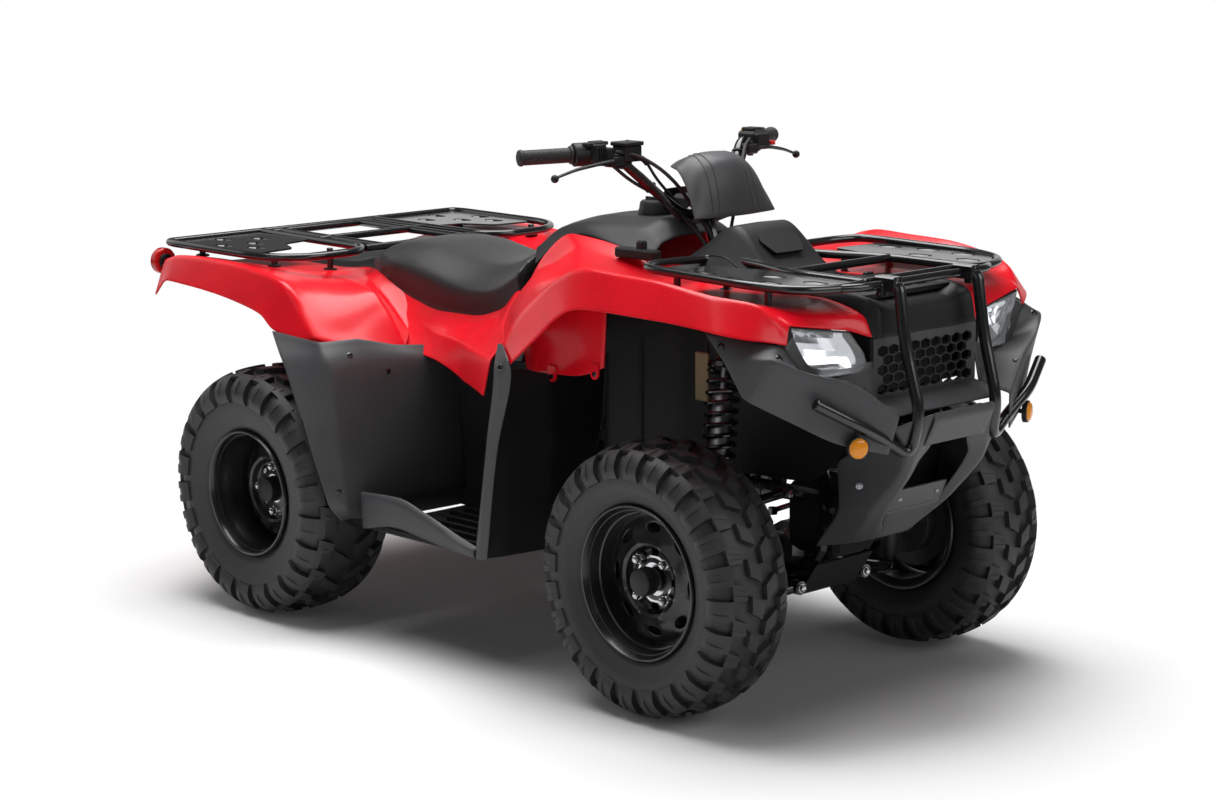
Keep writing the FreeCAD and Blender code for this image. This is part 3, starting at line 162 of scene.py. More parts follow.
def tinted(colour, share):  # the same colour, darker or lighter
    return tuple(min(1.0, c * share) for c in colour) + (1.0,)


def finishMaterial(name, colour, rough, spread, grain=0.0, depth=0.0, coat=0.0, metal=0.0, shine=0.5):
    shade = Shade(bpy.data.materials.new(name))  # grain size and depth are in mm
    uneven = shade.noise(6.0, 3.0, 0.6) * 0.6 + shade.noise(220.0) * 0.4
    base = shade.mixed(shade.mapped(uneven, 0.35, 0.65), tinted(colour, 0.90), tinted(colour, 1.10))
    inputs = {"Base Color": base, "Roughness": rough - spread / 2.0 + uneven * spread, "Metallic": metal,
        "Coat Weight": coat, "Coat Roughness": 0.08, "Specular IOR Level": shine}
    if grain:
        inputs["Normal"] = shade.bump(shade.noise(1000.0 / grain, 3.0, 0.6), 0.6, depth * mm)
    return shade.surface(inputs)


materials = {name: finishMaterial(name, **values) for name, values in finishes.items()}


def vinylMaterial():  # seat cover: fine pebbled grain on a soft sheen
    shade = Shade(bpy.data.materials.new("seatVinyl"))
    pebbles = shade.cells(620.0)
    base = shade.mixed(shade.mapped(pebbles, 0.0, 0.7), (0.013, 0.013, 0.014, 1), (0.008, 0.008, 0.009, 1))
    return shade.surface({"Base Color": base, "Roughness": 0.40 + 0.12 * shade.noise(9.0, 3.0, 0.6),
        "Normal": shade.bump(1.0 - pebbles, 0.45, 0.15 * mm), "Sheen Weight": 0.05})


def lensMaterial(name, colour, rough=0.05, cut=0.0, clear=0.9):  # cut is the size of a lens's prisms
    shade = Shade(bpy.data.materials.new(name))
    inputs = {"Base Color": colour, "Roughness": rough, "Transmission Weight": clear, "IOR": 1.45}
    if cut:
        inputs["Normal"] = shade.bump(shade.cells(1000.0 / cut), 0.5, 0.5 * mm)
    return shade.surface(inputs)


materials["seatVinyl"] = vinylMaterial()
materials["lensClear"] = lensMaterial("lensClear", (0.92, 0.94, 0.96, 1))
materials["lensRed"] = lensMaterial("lensRed", (0.62, 0.01, 0.01, 1), 0.12, 6.0, 0.4)
materials["lensAmber"] = lensMaterial("lensAmber", (0.95, 0.33, 0.02, 1), 0.10, 7.0, 0.25)

slotFinish = {
    "red_plastic": "redPlastic", "grey_plastic": "greyPlastic", "black_plastic": "blackPlastic",
    "black_steel": "blackSteel", "seat_vinyl": "seatVinyl", "rubber": "rubberBlack", "tyre": "tyreRubber",
    "rim_black": "rimBlack", "bright_steel": "brightSteel", "aluminium": "castAluminium",
    "lens_clear": "lensClear", "lens_red": "lensRed", "lens_amber": "lensAmber",
}

slotOf = {finish: slot for slot, finish in slotFinish.items()}
slotOf.update(tanPlastic="black_plastic", deepBlack="black_plastic", yellowPlastic="lens_amber",
    dullSteel="bright_steel", darkCast="aluminium", redPaint="red_plastic", darkChrome="lens_clear")

for part in frame["record"]["subparts"]:  # the pieces that scene.py leaves as they are
    slots = frame["nodes"][part["node"]].data.materials
    slots.clear()
    slots.append(materials[slotFinish[part["material_slot"]]])
print("frame and finishes ready")


# Mesh helpers

def gridFaces(rows, columns, closeRows=False, closeColumns=False):  # four-cornered faces of a grid of points
    r, c = np.meshgrid(np.arange(rows if closeRows else rows - 1),
        np.arange(columns if closeColumns else columns - 1), indexing="ij")
    r2, c2 = (r + 1) % rows, (c + 1) % columns
    corners = [r * columns + c, r * columns + c2, r2 * columns + c2, r2 * columns + c]
    return np.stack(corners, -1).reshape(-1, 4)


def mirrored(shell):  # y changes sign, and the faces turn round with it
    verts, faces = shell
    return verts * [1, -1, 1], [face[::-1] for face in faces]


def unit(vectors):  # each divided by its length
    return vectors / np.maximum(np.linalg.norm(vectors, axis=-1, keepdims=True), 1e-12)


# One named piece: its shells joined in one mesh, on its body and with the nodes that it stands for.
def makePiece(name, shells, finish, nodes=(), body="chassis", sharp=35.0):
    verts, faces, base = [], [], 0
    for shellVerts, shellFaces in shells:
        verts.append(np.asarray(shellVerts, float).reshape(-1, 3))
        faces += [tuple(int(i) + base for i in face) for face in shellFaces]
        base += len(verts[-1])
    mesh = bpy.data.meshes.new(name)
    mesh.from_pydata(np.concatenate(verts).tolist(), [], faces)
    mesh.validate()
    mesh.shade_smooth()
    mesh.set_sharp_from_angle(angle=math.radians(sharp))
    mesh.materials.append(materials[finish])
    piece = bpy.data.objects.new(name, mesh)
    bpy.context.scene.collection.objects.link(piece)
    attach(piece, body)
    if nodes:
        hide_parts(*nodes)
    return piece


def outward(shell):  # turns a closed shell whose signed volume is negative
    verts, faces = shell
    verts = np.asarray(verts, float).reshape(-1, 3)
    quads = np.array([face if len(face) == 4 else (*face[:3], face[2]) for face in faces if len(face) <= 4])
    a, b, c, d = (verts[quads[:, i]] for i in range(4))
    volume = np.einsum("ij,ij->i", a, np.cross(b, c)).sum() + np.einsum("ij,ij->i", a, np.cross(c, d)).sum()
    return (verts, faces) if volume > 0 else (verts, [face[::-1] for face in faces])


# Values between rows of points: cubic pieces whose slopes are the harmonic mean of the
# slopes on either side, so that nothing overshoots a row.
def throughRows(points, spacing):
    steps = np.linalg.norm(np.diff(points, axis=0), axis=-1).mean(axis=1)
    knots = np.concatenate([[0.0], np.cumsum(steps)])
    shape = (-1,) + (1,) * (points.ndim - 1)
    h = steps.reshape(shape)
    slope = np.diff(points, axis=0) / h
    before, after = slope[:-1], slope[1:]
    w1, w2 = 2 * h[1:] + h[:-1], h[1:] + 2 * h[:-1]
    safe = np.where(before * after > 0, 1.0, np.nan)
    middle = np.nan_to_num((w1 + w2) / (w1 / (before * safe) + w2 / (after * safe)))
    tangent = np.concatenate([slope[:1], middle, slope[-1:]])
    at = np.linspace(0.0, knots[-1], max(3, int(round(knots[-1] / spacing)) + 1))
    k = np.clip(np.searchsorted(knots, at, side="right") - 1, 0, len(steps) - 1)
    t = ((at - knots[k]) / steps[k]).reshape(shape)
    near = (2 * t**3 - 3 * t**2 + 1) * points[k] + (t**3 - 2 * t**2 + t) * h[k] * tangent[k]
    return near + (3 * t**2 - 2 * t**3) * points[k + 1] + (t**3 - t**2) * h[k] * tangent[k + 1]


# Points across a panel: straight from column to column, with each corner rounded by the
# mean of nine places spread over the width "soft".
def acrossColumns(points, spacing, soft):
    steps = np.linalg.norm(np.diff(points, axis=1), axis=-1).mean(axis=0)
    knots = np.concatenate([[0.0], np.cumsum(steps)])
    at = np.linspace(0.0, knots[-1], max(3, int(round(knots[-1] / spacing)) + 1))
    total = 0.0
    shifts = np.linspace(-0.5, 0.5, 9)
    room = np.minimum(1.0, 2.0 * np.minimum(at, knots[-1] - at) / max(soft, 1e-9))
    for shift in shifts:
        s = at + shift * soft * room
        k = np.clip(np.searchsorted(knots, s, side="right") - 1, 0, len(steps) - 1)
        share = ((s - knots[k]) / steps[k])[None, :, None]
        total = total + points[:, k] * (1 - share) + points[:, k + 1] * share
    return total / len(shifts)


def gridNormals(grid):  # along the rows crossed with along the columns
    return unit(np.cross(np.gradient(grid, axis=0), np.gradient(grid, axis=1)))


# A moulded panel: its outer face as a grid, the inner face one wall behind it, and a
# rounded lip of two more loops round the edge.
def sheetShell(grid, wall):
    rows, columns = grid.shape[:2]
    normal = gridNormals(grid)
    inner = grid - normal * wall
    around = np.concatenate([np.arange(columns), columns * np.arange(1, rows) + columns - 1,
        columns * (rows - 1) + np.arange(columns - 2, -1, -1), columns * np.arange(rows - 2, 0, -1)])
    outerFlat, innerFlat = grid.reshape(-1, 3), inner.reshape(-1, 3)
    o, i = outerFlat[around], innerFlat[around]
    centre = (np.roll(o, 1, 0) + np.roll(o, -1, 0)) / 2
    out = unit(np.cross(np.roll(o, -1, 0) - np.roll(o, 1, 0), (i - o) * np.sign(wall)))
    inside = outerFlat.reshape(rows, columns, 3)[1:-1, 1:-1].mean(axis=(0, 1)) - centre
    if np.einsum("ij,ij->i", out, inside).sum() > 0:
        out = -out
    reach = abs(wall) * 0.35
    lipA = o + (i - o) * 0.18 + out * reach
    lipB = o + (i - o) * 0.82 + out * reach
    n, m = rows * columns, len(around)
    faces = gridFaces(rows, columns)
    loop = np.arange(m)
    after = (loop + 1) % m
    loops = [around, 2 * n + loop, 2 * n + m + loop, n + around]
    strips = [np.stack([a[loop], a[after], b[after], b[loop]], -1) for a, b in zip(loops, loops[1:])]
    allFaces = np.concatenate([faces[:, ::-1], faces + n] + strips).tolist()
    return outward((np.concatenate([outerFlat, innerFlat, lipA, lipB]), allFaces))


def panelGrid(rows, spacing=(0.010, 0.006), soft=0.022):  # a smooth grid through rows of points in mm
    control = np.array(rows, float) * mm
    return acrossColumns(throughRows(control, spacing[0]), spacing[1], soft)


def sheet(rows, soft, wall=skinWall):  # a small panel straight from its rows; the wall is in mm
    return sheetShell(panelGrid(rows, soft=soft), wall * mm)


def wholeRow(row):  # a right half row carried on to the left
    return list(row) + [(x, -y, z) for x, y, z in reversed(row) if abs(y) > 1e-6]


# Turned, swept and cut shells

onAxis = 0.01  # the least radius, so that no two points fall together


def lathe(outline, steps, centre=(0, 0, 0), axis="Y"):  # a closed outline of (along, radius), turned round
    outline = np.asarray(outline, float)
    turn = np.linspace(0, 2 * np.pi, steps, endpoint=False)[:, None]
    along = np.broadcast_to(outline[:, 0], (steps, len(outline)))
    first, second = outline[:, 1] * np.cos(turn), outline[:, 1] * np.sin(turn)
    order = {"X": (along, first, second), "Y": (first, along, second), "Z": (first, second, along)}[axis]
    verts = np.stack(order, -1).reshape(-1, 3) * mm + np.array(centre) * mm
    return outward((verts, gridFaces(steps, len(outline), True, True).tolist()))


def solid(outline, steps, centre=(0, 0, 0), axis="Z"):  # a lathe closed on the axis at both ends
    return lathe([(outline[0][0], onAxis)] + outline + [(outline[-1][0], onAxis)], steps, centre, axis)


def aimed(shell, start, way):  # a shell drawn along Z, carried to a start point and a direction
    verts, faces = shell
    turn = np.array(Vector(way).to_track_quat("Z", "Y").to_matrix())
    return verts @ turn.T + np.array(start) * mm, faces


def turnedShell(outline, steps, start, way):  # a lathe's shell along any direction
    return aimed(lathe(outline, steps, axis="Z"), start, way)


def roundedPath(points, bend, step):  # straight runs joined by curves that leave each corner by "bend"
    points = [np.array(p, float) for p in points]
    out = [points[0]]
    for before, corner, after in zip(points, points[1:], points[2:]):
        back, ahead = before - corner, after - corner
        reach = min(bend, 0.48 * np.linalg.norm(back), 0.48 * np.linalg.norm(ahead))
        a = corner + back / np.linalg.norm(back) * reach
        b = corner + ahead / np.linalg.norm(ahead) * reach
        count = max(2, int(np.ceil(2 * reach / step)))
        t = np.linspace(0, 1, count + 1)[:, None]
        out += list((1 - t) ** 2 * a + 2 * t * (1 - t) * corner + t ** 2 * b)
    out.append(points[-1])
    kept = [out[0]]
    for point in out[1:]:
        if np.linalg.norm(point - kept[-1]) > 0.05:
            kept.append(point)
    return np.array(kept)


def carriedFrames(path, closed=False):  # side and up vectors carried along a path without twisting
    if closed:
        ahead = unit(np.roll(path, -1, 0) - np.roll(path, 1, 0))
    else:
        ahead = unit(np.gradient(path, axis=0))
    side = np.cross(ahead[0], (0, 0, 1.0) if abs(ahead[0][2]) < 0.9 else (1.0, 0, 0))
    sides = []
    for way in ahead:
        side = side - way * side.dot(way)
        side = side / np.linalg.norm(side)
        sides.append(side)
    sides = np.array(sides)
    return ahead, sides, np.cross(sides, ahead)


def sweep(path, radius, sides=14, closed=False, flat=1.0):  # a tube; its ends are domed by two small rings
    path = np.asarray(path, float)
    ahead, across, up = carriedFrames(path, closed)
    radius = np.broadcast_to(np.asarray(radius, float), (len(path),))
    if not closed:
        r0, r1 = radius[0], radius[-1]
        path = np.concatenate([path[:1], path[:1] + ahead[:1] * r0 * 0.08, path[1:-1],
            path[-1:] - ahead[-1:] * r1 * 0.08, path[-1:]])
        radius = np.concatenate([[r0 * 0.90, r0], radius[1:-1], [r1, r1 * 0.90]])
        across = np.concatenate([across[:1], across, across[-1:]])
        up = np.concatenate([up[:1], up, up[-1:]])
    turn = np.linspace(0, 2 * np.pi, sides, endpoint=False)[None, :, None]
    ways = np.cos(turn) * across[:, None] + flat * np.sin(turn) * up[:, None]
    verts = (path[:, None] + radius[:, None, None] * ways).reshape(-1, 3) * mm
    if closed:
        return outward((verts, gridFaces(len(path), sides, True, True).tolist()))
    return capped(verts, len(path), sides)


def sealed(shell):  # like outward, for shells whose end faces have many corners
    verts, faces = shell
    total = 0.0
    for face in faces:
        loop = verts[list(face)]
        total += np.einsum("ij,ij->", np.cross(loop[1:-1] - loop[0], loop[2:] - loop[0]),
            loop[:1].repeat(len(face) - 2, 0))
    return (verts, faces) if total > 0 else (verts, [face[::-1] for face in faces])


def capped(verts, rows, columns):  # loops of points one after another, with a face at each end
    faces = gridFaces(rows, columns, False, True).tolist()
    return sealed((verts, faces + [list(range(columns)),
        list(range(rows * columns - 1, (rows - 1) * columns - 1, -1))]))


def tubeShell(points, radius, bend=40.0, sides=14, step=9.0):  # a round tube along a bent path
    return sweep(roundedPath(points, bend, step), radius, sides)


def softBox(low, high, edge=2.0):  # a box whose twelve edges are cut at 45 degrees
    low, high = np.array(low, float), np.array(high, float)
    middle, half = (low + high) / 2, (high - low) / 2
    edge = min(edge, 0.45 * half.min())
    corners = np.array([[x, y, z] for x in (-1, 1) for y in (-1, 1) for z in (-1, 1)], float)
    verts = np.concatenate([corners * (half - edge * (1 - np.eye(3)[axis])) for axis in range(3)]) + middle
    faces = []
    for axis in range(3):
        others = [k for k in range(3) if k != axis]
        for sign in (-1, 1):
            ring = [i for i in range(8) if corners[i][axis] == sign]
            ring.sort(key=lambda i: math.atan2(corners[i][others[1]], corners[i][others[0]]))
            faces.append([axis * 8 + i for i in ring])
    for axis in range(3):
        first, second = [k for k in range(3) if k != axis]
        for s in (-1, 1):
            for t in (-1, 1):
                pair = [i for i in range(8) if corners[i][first] == s and corners[i][second] == t]
                a, b = pair
                faces.append([first * 8 + a, first * 8 + b, second * 8 + b, second * 8 + a])
    faces += [[i, 8 + i, 16 + i] for i in range(8)]
    faces = [facing(verts, face, middle) for face in faces]
    return verts * mm, faces


def facing(verts, face, middle):  # turned so that it looks away from the middle
    a, b, c = (verts[face[k]] for k in range(3))
    return face if np.cross(b - a, c - a).dot(verts[face].mean(0) - middle) > 0 else face[::-1]


def within(points, loop):  # even-odd test: which points lie inside a closed outline
    a, b = loop, np.roll(loop, -1, 0)
    x, y = points[:, :1], points[:, 1:]
    rise = np.where(b[:, 1] == a[:, 1], 1e-9, b[:, 1] - a[:, 1])
    crossed = ((a[:, 1] > y) != (b[:, 1] > y)) & (x < a[:, 0] + (b[:, 0] - a[:, 0]) * (y - a[:, 1]) / rise)
    return crossed.sum(1) % 2 == 1


def lying(points, height):  # the three ways a plate's own plane is set: flat, along the bike, across it
    return points[..., 0], points[..., 1], height + 0 * points[..., 0]


def facingSide(points, height):
    return points[..., 0], height + 0 * points[..., 0], points[..., 1]


def facingForward(points, height):
    return height + 0 * points[..., 0], points[..., 0], points[..., 1]


# A flat plate with holes: triangles over the outline, the same behind, and walls between.
def cutPlate(outline, holes, low, high, place=lying):
    loops = [np.array(outline, float)] + [np.array(hole, float) for hole in holes]
    points = np.concatenate(loops)
    edges, start = [], 0
    for loop in loops:
        edges += [(start + k, start + (k + 1) % len(loop)) for k in range(len(loop))]
        start += len(loop)
    made, _, cells, *_ = geometry.delaunay_2d_cdt([Vector(p) for p in points], edges, [], 2, 1e-6)
    flat = np.array([tuple(p) for p in made])
    count = len(flat)
    middles = np.array([flat[list(cell)].mean(0) for cell in cells])
    inHole = np.zeros(len(cells), bool)
    for loop in loops[1:]:
        inHole |= within(middles, loop)
    cells = [list(cell) for cell, gone in zip(cells, inHole) if not gone]
    area = sum(np.cross(flat[c[1]] - flat[c[0]], flat[c[2]] - flat[c[0]]) for c in cells)
    if area < 0:
        cells = [cell[::-1] for cell in cells]
    used = dict.fromkeys((a, b) for cell in cells for a, b in zip(cell, cell[1:] + cell[:1]))
    faces = [[i + count for i in cell] for cell in cells] + [cell[::-1] for cell in cells]
    faces += [[a, b, b + count, a + count] for a, b in used if (b, a) not in used]
    verts = np.concatenate([np.stack(place(flat, low), -1), np.stack(place(flat, high), -1)])
    return sealed((verts * mm, faces))


def roundedCorners(points, bend, count=5):  # the same outline with each corner rounded
    points = [np.array(p, float) for p in points]
    out = []
    for k, corner in enumerate(points):
        back, ahead = points[k - 1] - corner, points[(k + 1) % len(points)] - corner
        reach = min(bend, 0.45 * np.linalg.norm(back), 0.45 * np.linalg.norm(ahead))
        a = corner + back / np.linalg.norm(back) * reach
        b = corner + ahead / np.linalg.norm(ahead) * reach
        t = np.linspace(0, 1, count)[:, None]
        out += list((1 - t) ** 2 * a + 2 * t * (1 - t) * corner + t ** 2 * b)
    return np.array(out)


def boltShell(place, way, radius, head=3.0, sides=6):  # a flanged bolt head with a chamfered hexagon
    flange = solid([(-2, radius * 1.35), (0.8, radius * 1.35), (1.2, radius * 1.2)], 20)
    hexagon = solid([(0.6, radius), (head, radius), (head + 0.8, radius * 0.82)], sides)
    return [aimed(flange, place, way), aimed(hexagon, place, way)]


def rivetShell(place, way, radius, rise=1.6):  # a low round head with a small socket
    return [aimed(solid([(-2, radius), (rise * 0.3, radius), (rise * 0.8, radius * 0.8), (rise, radius * 0.5),
        (rise, radius * 0.34), (rise * 0.3, radius * 0.3)], 20), place, way)]


def bothSides(shells):  # the shells and their mirror images
    return list(shells) + [mirrored(shell) for shell in shells]


# Body panels
# Rows of points on the outer face, from the rear to the front, for the right half; a wall below
# zero faces the rider, and a whole panel runs on across the middle.

panels = {
    "frontFenders": dict(finish="redPlastic", soft=26.0, rows=[
        [(245, -500, 718), (190, -470, 745), (120, -400, 752), (0, -300, 752), (-100, -215, 745),
         (-148, -194, 742)],
        [(336, -500, 788), (228, -470, 802), (150, -400, 806), (40, -300, 800), (-60, -215, 792),
         (-82, -193, 786)],
        [(395, -500, 834), (304, -470, 870), (230, -410, 858), (100, -300, 850), (0, -215, 850),
         (-22, -193, 848)],
        [(439, -500, 856), (371, -470, 917), (330, -425, 896), (200, -300, 880), (70, -200, 895),
         (12, -184, 900)],
        [(482, -500, 863), (421, -470, 939), (385, -430, 915), (260, -300, 890), (150, -196, 935),
         (93, -170, 958)],
        [(552, -500, 864), (471, -470, 947), (450, -428, 925), (350, -300, 890), (260, -196, 922),
         (250, -170, 945)],
        [(640, -500, 863), (560, -468, 944), (555, -425, 920), (480, -300, 886), (420, -200, 890),
         (410, -170, 900)],
        [(721, -500, 862), (658, -468, 941), (655, -425, 916), (640, -300, 884), (620, -200, 884),
         (615, -170, 886)],
        [(845, -490, 853), (800, -456, 922), (795, -420, 908), (780, -300, 884), (770, -200, 884),
         (765, -170, 890)],
        [(903, -455, 842), (887, -410, 906), (885, -380, 897), (872, -300, 884), (855, -200, 886),
         (850, -170, 890)],
        [(938, -408, 833), (914, -398, 886), (916, -372, 882), (935, -300, 876), (962, -215, 864),
         (970, -170, 862)],
        [(951, -384, 827), (949, -380, 842), (945, -372, 866), (957, -300, 854), (971, -215, 840),
         (991, -170, 823)],
    ]),
    "archWalls": dict(finish="redPlastic", soft=10.0, rows=[
        [(80, -300, 662), (62, -300, 720), (50, -300, 790)],
        [(176, -345, 672), (170, -345, 740), (160, -345, 830)],
        [(300, -352, 680), (305, -352, 770), (320, -352, 864)],
        [(385, -352, 708), (390, -352, 780), (395, -352, 872)],
    ]),
    "sideCovers": dict(finish="redPlastic", soft=14.0, rows=[
        [(-384, -268, 654), (-470, -226, 700), (-556, -206, 752), (-560, -176, 792)],
        [(-310, -266, 641), (-385, -226, 695), (-450, -200, 734), (-455, -176, 766)],
        [(-240, -280, 632), (-295, -244, 690), (-350, -200, 722), (-352, -176, 744)],
        [(-170, -302, 622), (-205, -272, 694), (-240, -200, 722), (-240, -176, 742)],
        [(-95, -335, 614), (-115, -314, 694), (-150, -200, 740), (-148, -176, 762)],
        [(0, -388, 617), (-5, -372, 698), (-20, -290, 752), (-70, -182, 812)],
        [(95, -447, 622), (112, -440, 703), (120, -400, 746), (110, -330, 752)],
    ]),
    "rearFenders": dict(finish="redPlastic", soft=24.0, rows=[
        [(-1054, -530, 742), (-1032, -512, 832), (-1040, -440, 830), (-1050, -300, 806), (-1055, -150, 800),
         (-1055, -142, 796)],
        [(-1000, -531, 783), (-978, -513, 846), (-985, -440, 835), (-990, -300, 808), (-990, -150, 800),
         (-990, -142, 796)],
        [(-905, -532, 779), (-880, -513, 851), (-885, -440, 838), (-890, -300, 808), (-890, -150, 800),
         (-890, -142, 796)],
        [(-800, -532, 771), (-772, -513, 850), (-780, -440, 838), (-790, -300, 808), (-790, -150, 800),
         (-790, -142, 796)],
        [(-690, -532, 756), (-655, -513, 841), (-680, -440, 834), (-690, -300, 812), (-690, -160, 804),
         (-690, -142, 806)],
        [(-614, -532, 739), (-548, -513, 821), (-575, -440, 815), (-600, -300, 806), (-620, -195, 794),
         (-625, -165, 808)],
        [(-562, -530, 706), (-490, -505, 758), (-470, -430, 756), (-470, -300, 786), (-560, -215, 770),
         (-575, -176, 796)],
        [(-480, -520, 692), (-436, -505, 701), (-410, -420, 694), (-420, -296, 742), (-490, -222, 730),
         (-515, -180, 776)],
        [(-440, -510, 684), (-425, -490, 688), (-365, -400, 656), (-362, -292, 662), (-420, -232, 686),
         (-460, -184, 750)],
    ]),
    "mudguards": dict(finish="greyPlastic", wall=-4.0, soft=18.0, rows=[
        [(-320, -530, 281), (-318, -500, 282), (-312, -420, 268), (-306, -300, 268), (-300, -180, 268)],
        [(-322, -566, 330), (-298, -530, 321), (-296, -420, 321), (-290, -300, 321), (-284, -180, 321)],
        [(-368, -584, 480), (-330, -530, 486), (-318, -420, 480), (-304, -300, 480), (-296, -180, 480)],
        [(-410, -584, 560), (-342, -530, 560), (-330, -420, 560), (-312, -300, 560), (-304, -180, 560)],
        [(-470, -574, 645), (-358, -530, 645), (-342, -420, 645), (-322, -300, 636), (-316, -180, 620)],
        [(-560, -536, 704), (-398, -524, 692), (-370, -430, 694), (-350, -330, 670), (-340, -235, 660)],
    ]),
    "liners": dict(finish="blackPlastic", wall=-4.0, soft=16.0, rows=[
        [(134, -488, 262), (150, -440, 262), (165, -330, 262), (150, -180, 262)],
        [(176, -488, 500), (186, -440, 500), (200, -330, 500), (186, -180, 500)],
        [(212, -476, 690), (214, -440, 694), (218, -352, 668), (214, -180, 696)],
    ]),
    "shieldStrips": dict(finish="greyPlastic", wall=-4.0, soft=8.0, rows=[
        [(118, -496, 268), (130, -500, 262), (150, -492, 262)],
        [(160, -496, 520), (172, -503, 520), (192, -492, 520)],
        [(186, -492, 700), (208, -503, 690), (246, -498, 700)],
        [(180, -474, 752), (194, -476, 750), (246, -506, 724)],
    ]),
    "wingGuards": dict(finish="greyPlastic", soft=12.0, rows=[
        [(905, -463, 725), (856, -463, 790), (802, -462, 843)],
        [(918, -460, 718), (955, -440, 803), (944, -395, 822)],
        [(968, -380, 668), (1000, -372, 775), (957, -324, 754)],
        [(1018, -300, 622), (1040, -280, 745), (975, -240, 742)],
        [(1064, -200, 592), (1078, -182, 672), (1000, -168, 690)],
    ]),
    "tankCover": dict(finish="blackPlastic", soft=16.0, whole=True, rows=[
        [(-20, -180, 882), (-50, -150, 896), (-90, -112, 905), (-118, -60, 912), (-122, 0, 913)],
        [(46, -167, 938), (34, -152, 950), (12, -120, 964), (0, -70, 970), (0, 0, 971)],
        [(130, -167, 961), (130, -156, 974), (132, -128, 986), (132, -70, 997), (132, 0, 999)],
        [(250, -170, 946), (255, -155, 955), (262, -122, 980), (270, -60, 997), (270, 0, 999)],
        [(340, -170, 930), (340, -152, 936), (330, -118, 955), (325, -60, 965), (325, 0, 967)],
    ]),
    "rearDeck": dict(finish="blackPlastic", soft=16.0, whole=True, rows=[
        [(-1055, -150, 796), (-1050, -120, 800), (-1050, 0, 800)],
        [(-760, -150, 796), (-760, -120, 812), (-760, 0, 812)],
        [(-690, -150, 798), (-685, -120, 826), (-685, 0, 830)],
        [(-630, -172, 786), (-625, -130, 812), (-625, 0, 816)],
    ]),
    "noseConsole": dict(finish="blackPlastic", slot="grey_plastic", soft=14.0, whole=True, rows=[
        [(342, -170, 926), (420, -150, 918), (430, -98, 948), (432, 0, 952)],
        [(452, -170, 893), (521, -148, 900), (521, -83, 1004), (521, 0, 1006)],
        [(560, -170, 886), (600, -145, 888), (618, -94, 926), (618, 0, 928)],
        [(640, -170, 884), (655, -145, 886), (660, -98, 892), (662, 0, 894)],
    ]),
    "hood": dict(finish="blackPlastic", soft=10.0, whole=True, rows=[
        [(641, -170, 883), (656, -145, 885), (661, -98, 891), (663, 0, 893)],
        [(760, -170, 889), (770, -150, 902), (770, -98, 892), (770, 0, 892)],
        [(850, -170, 889), (900, -150, 906), (900, -98, 890), (900, 0, 890)],
        [(971, -170, 861), (990, -150, 884), (984, -92, 868), (980, 0, 870)],
        [(990, -170, 821), (1004, -150, 822), (996, -92, 818), (992, 0, 818)],
    ]),
    "handlebarCover": dict(finish="greyPlastic", soft=18.0, body="steering", whole=True, rows=[
        [(322, -80, 1122), (322, -58, 1132), (322, -24, 1138), (322, 0, 1139)],
        [(362, -104, 1120), (366, -76, 1142), (370, -30, 1151), (370, 0, 1152)],
        [(398, -112, 1090), (408, -90, 1116), (416, -34, 1136), (418, 0, 1138)],
        [(424, -120, 1056), (434, -98, 1070), (442, -36, 1082), (444, 0, 1084)],
        [(446, -127, 1018), (450, -100, 1017), (452, -38, 1015), (452, 0, 1015)],
    ]),
}


def panelFace(name):  # the outer face of a panel, both halves together where it is whole
    panel = panels[name]
    rows = [wholeRow(row) for row in panel["rows"]] if panel.get("whole") else panel["rows"]
    return panelGrid(rows, soft=panel["soft"] * mm), panel.get("wall", skinWall)


def nodeName(name):  # rearFenders gives rear_fenders
    return "".join("_" + letter.lower() if letter.isupper() else letter for letter in name)


for name, panel in panels.items():
    grid, wall = panelFace(name)
    shell = sheetShell(grid, wall * mm)
    makePiece(name, [shell] if panel.get("whole") else bothSides([shell]), panel["finish"], [nodeName(name)],
        panel.get("body", "chassis"))
print("panels ready")


# Wheels
# Each wheel is drawn round its own middle with its outer face towards -Y.

def carcassPoints(tyre):  # half of the carcass from the crown to the bead, as (across, radius)
    base = tyre["radius"] - tyre["lug"]
    half = tyre["width"] / 2.0
    rim = tyre["rim"]
    points = np.array([(0, base), (half * 0.30, base - 1.5), (half * 0.55, base - 5.0),
        (half * 0.76, base - 13.0), (half * 0.90, base - 27.0), (half * 0.965, base - 44.0),
        (half * 0.98, base - 62.0), (half * 0.955, base - 82.0), (tyre["bead"] + 7.0, rim + 24.0),
        (tyre["bead"] + 2.5, rim + 16.0), (tyre["bead"] - 2.0, rim + 13.5)])
    steps = np.concatenate([[0.0], np.cumsum(np.linalg.norm(np.diff(points, axis=0), axis=1))])
    at = np.linspace(0, steps[-1], 60)
    fine = np.stack([np.interp(at, steps, points[:, k]) for k in (0, 1)], -1)
    for _ in range(12):
        fine[1:-1] = (fine[:-2] + 2 * fine[1:-1] + fine[2:]) / 4
        fine[0, 1] = fine[1, 1]
    return fine


# Across a knob: place along its length, which of its heights, and how far it is moved in mm.
knobRows = [(-0.5, 0, -2.0), (-0.5, 1, -0.6), (-0.5, 2, -0.8), (-0.20, 2, 0.0), (-0.20, 3, 1.0),
    (0.20, 3, -1.0), (0.20, 2, 0.0), (0.5, 2, 0.8), (0.5, 1, 0.6), (0.5, 0, 2.0)]
knob = dict(sunk=-2.5, cutEdge=1.6, inset=2.2, slice=9.0, faded=0.30)


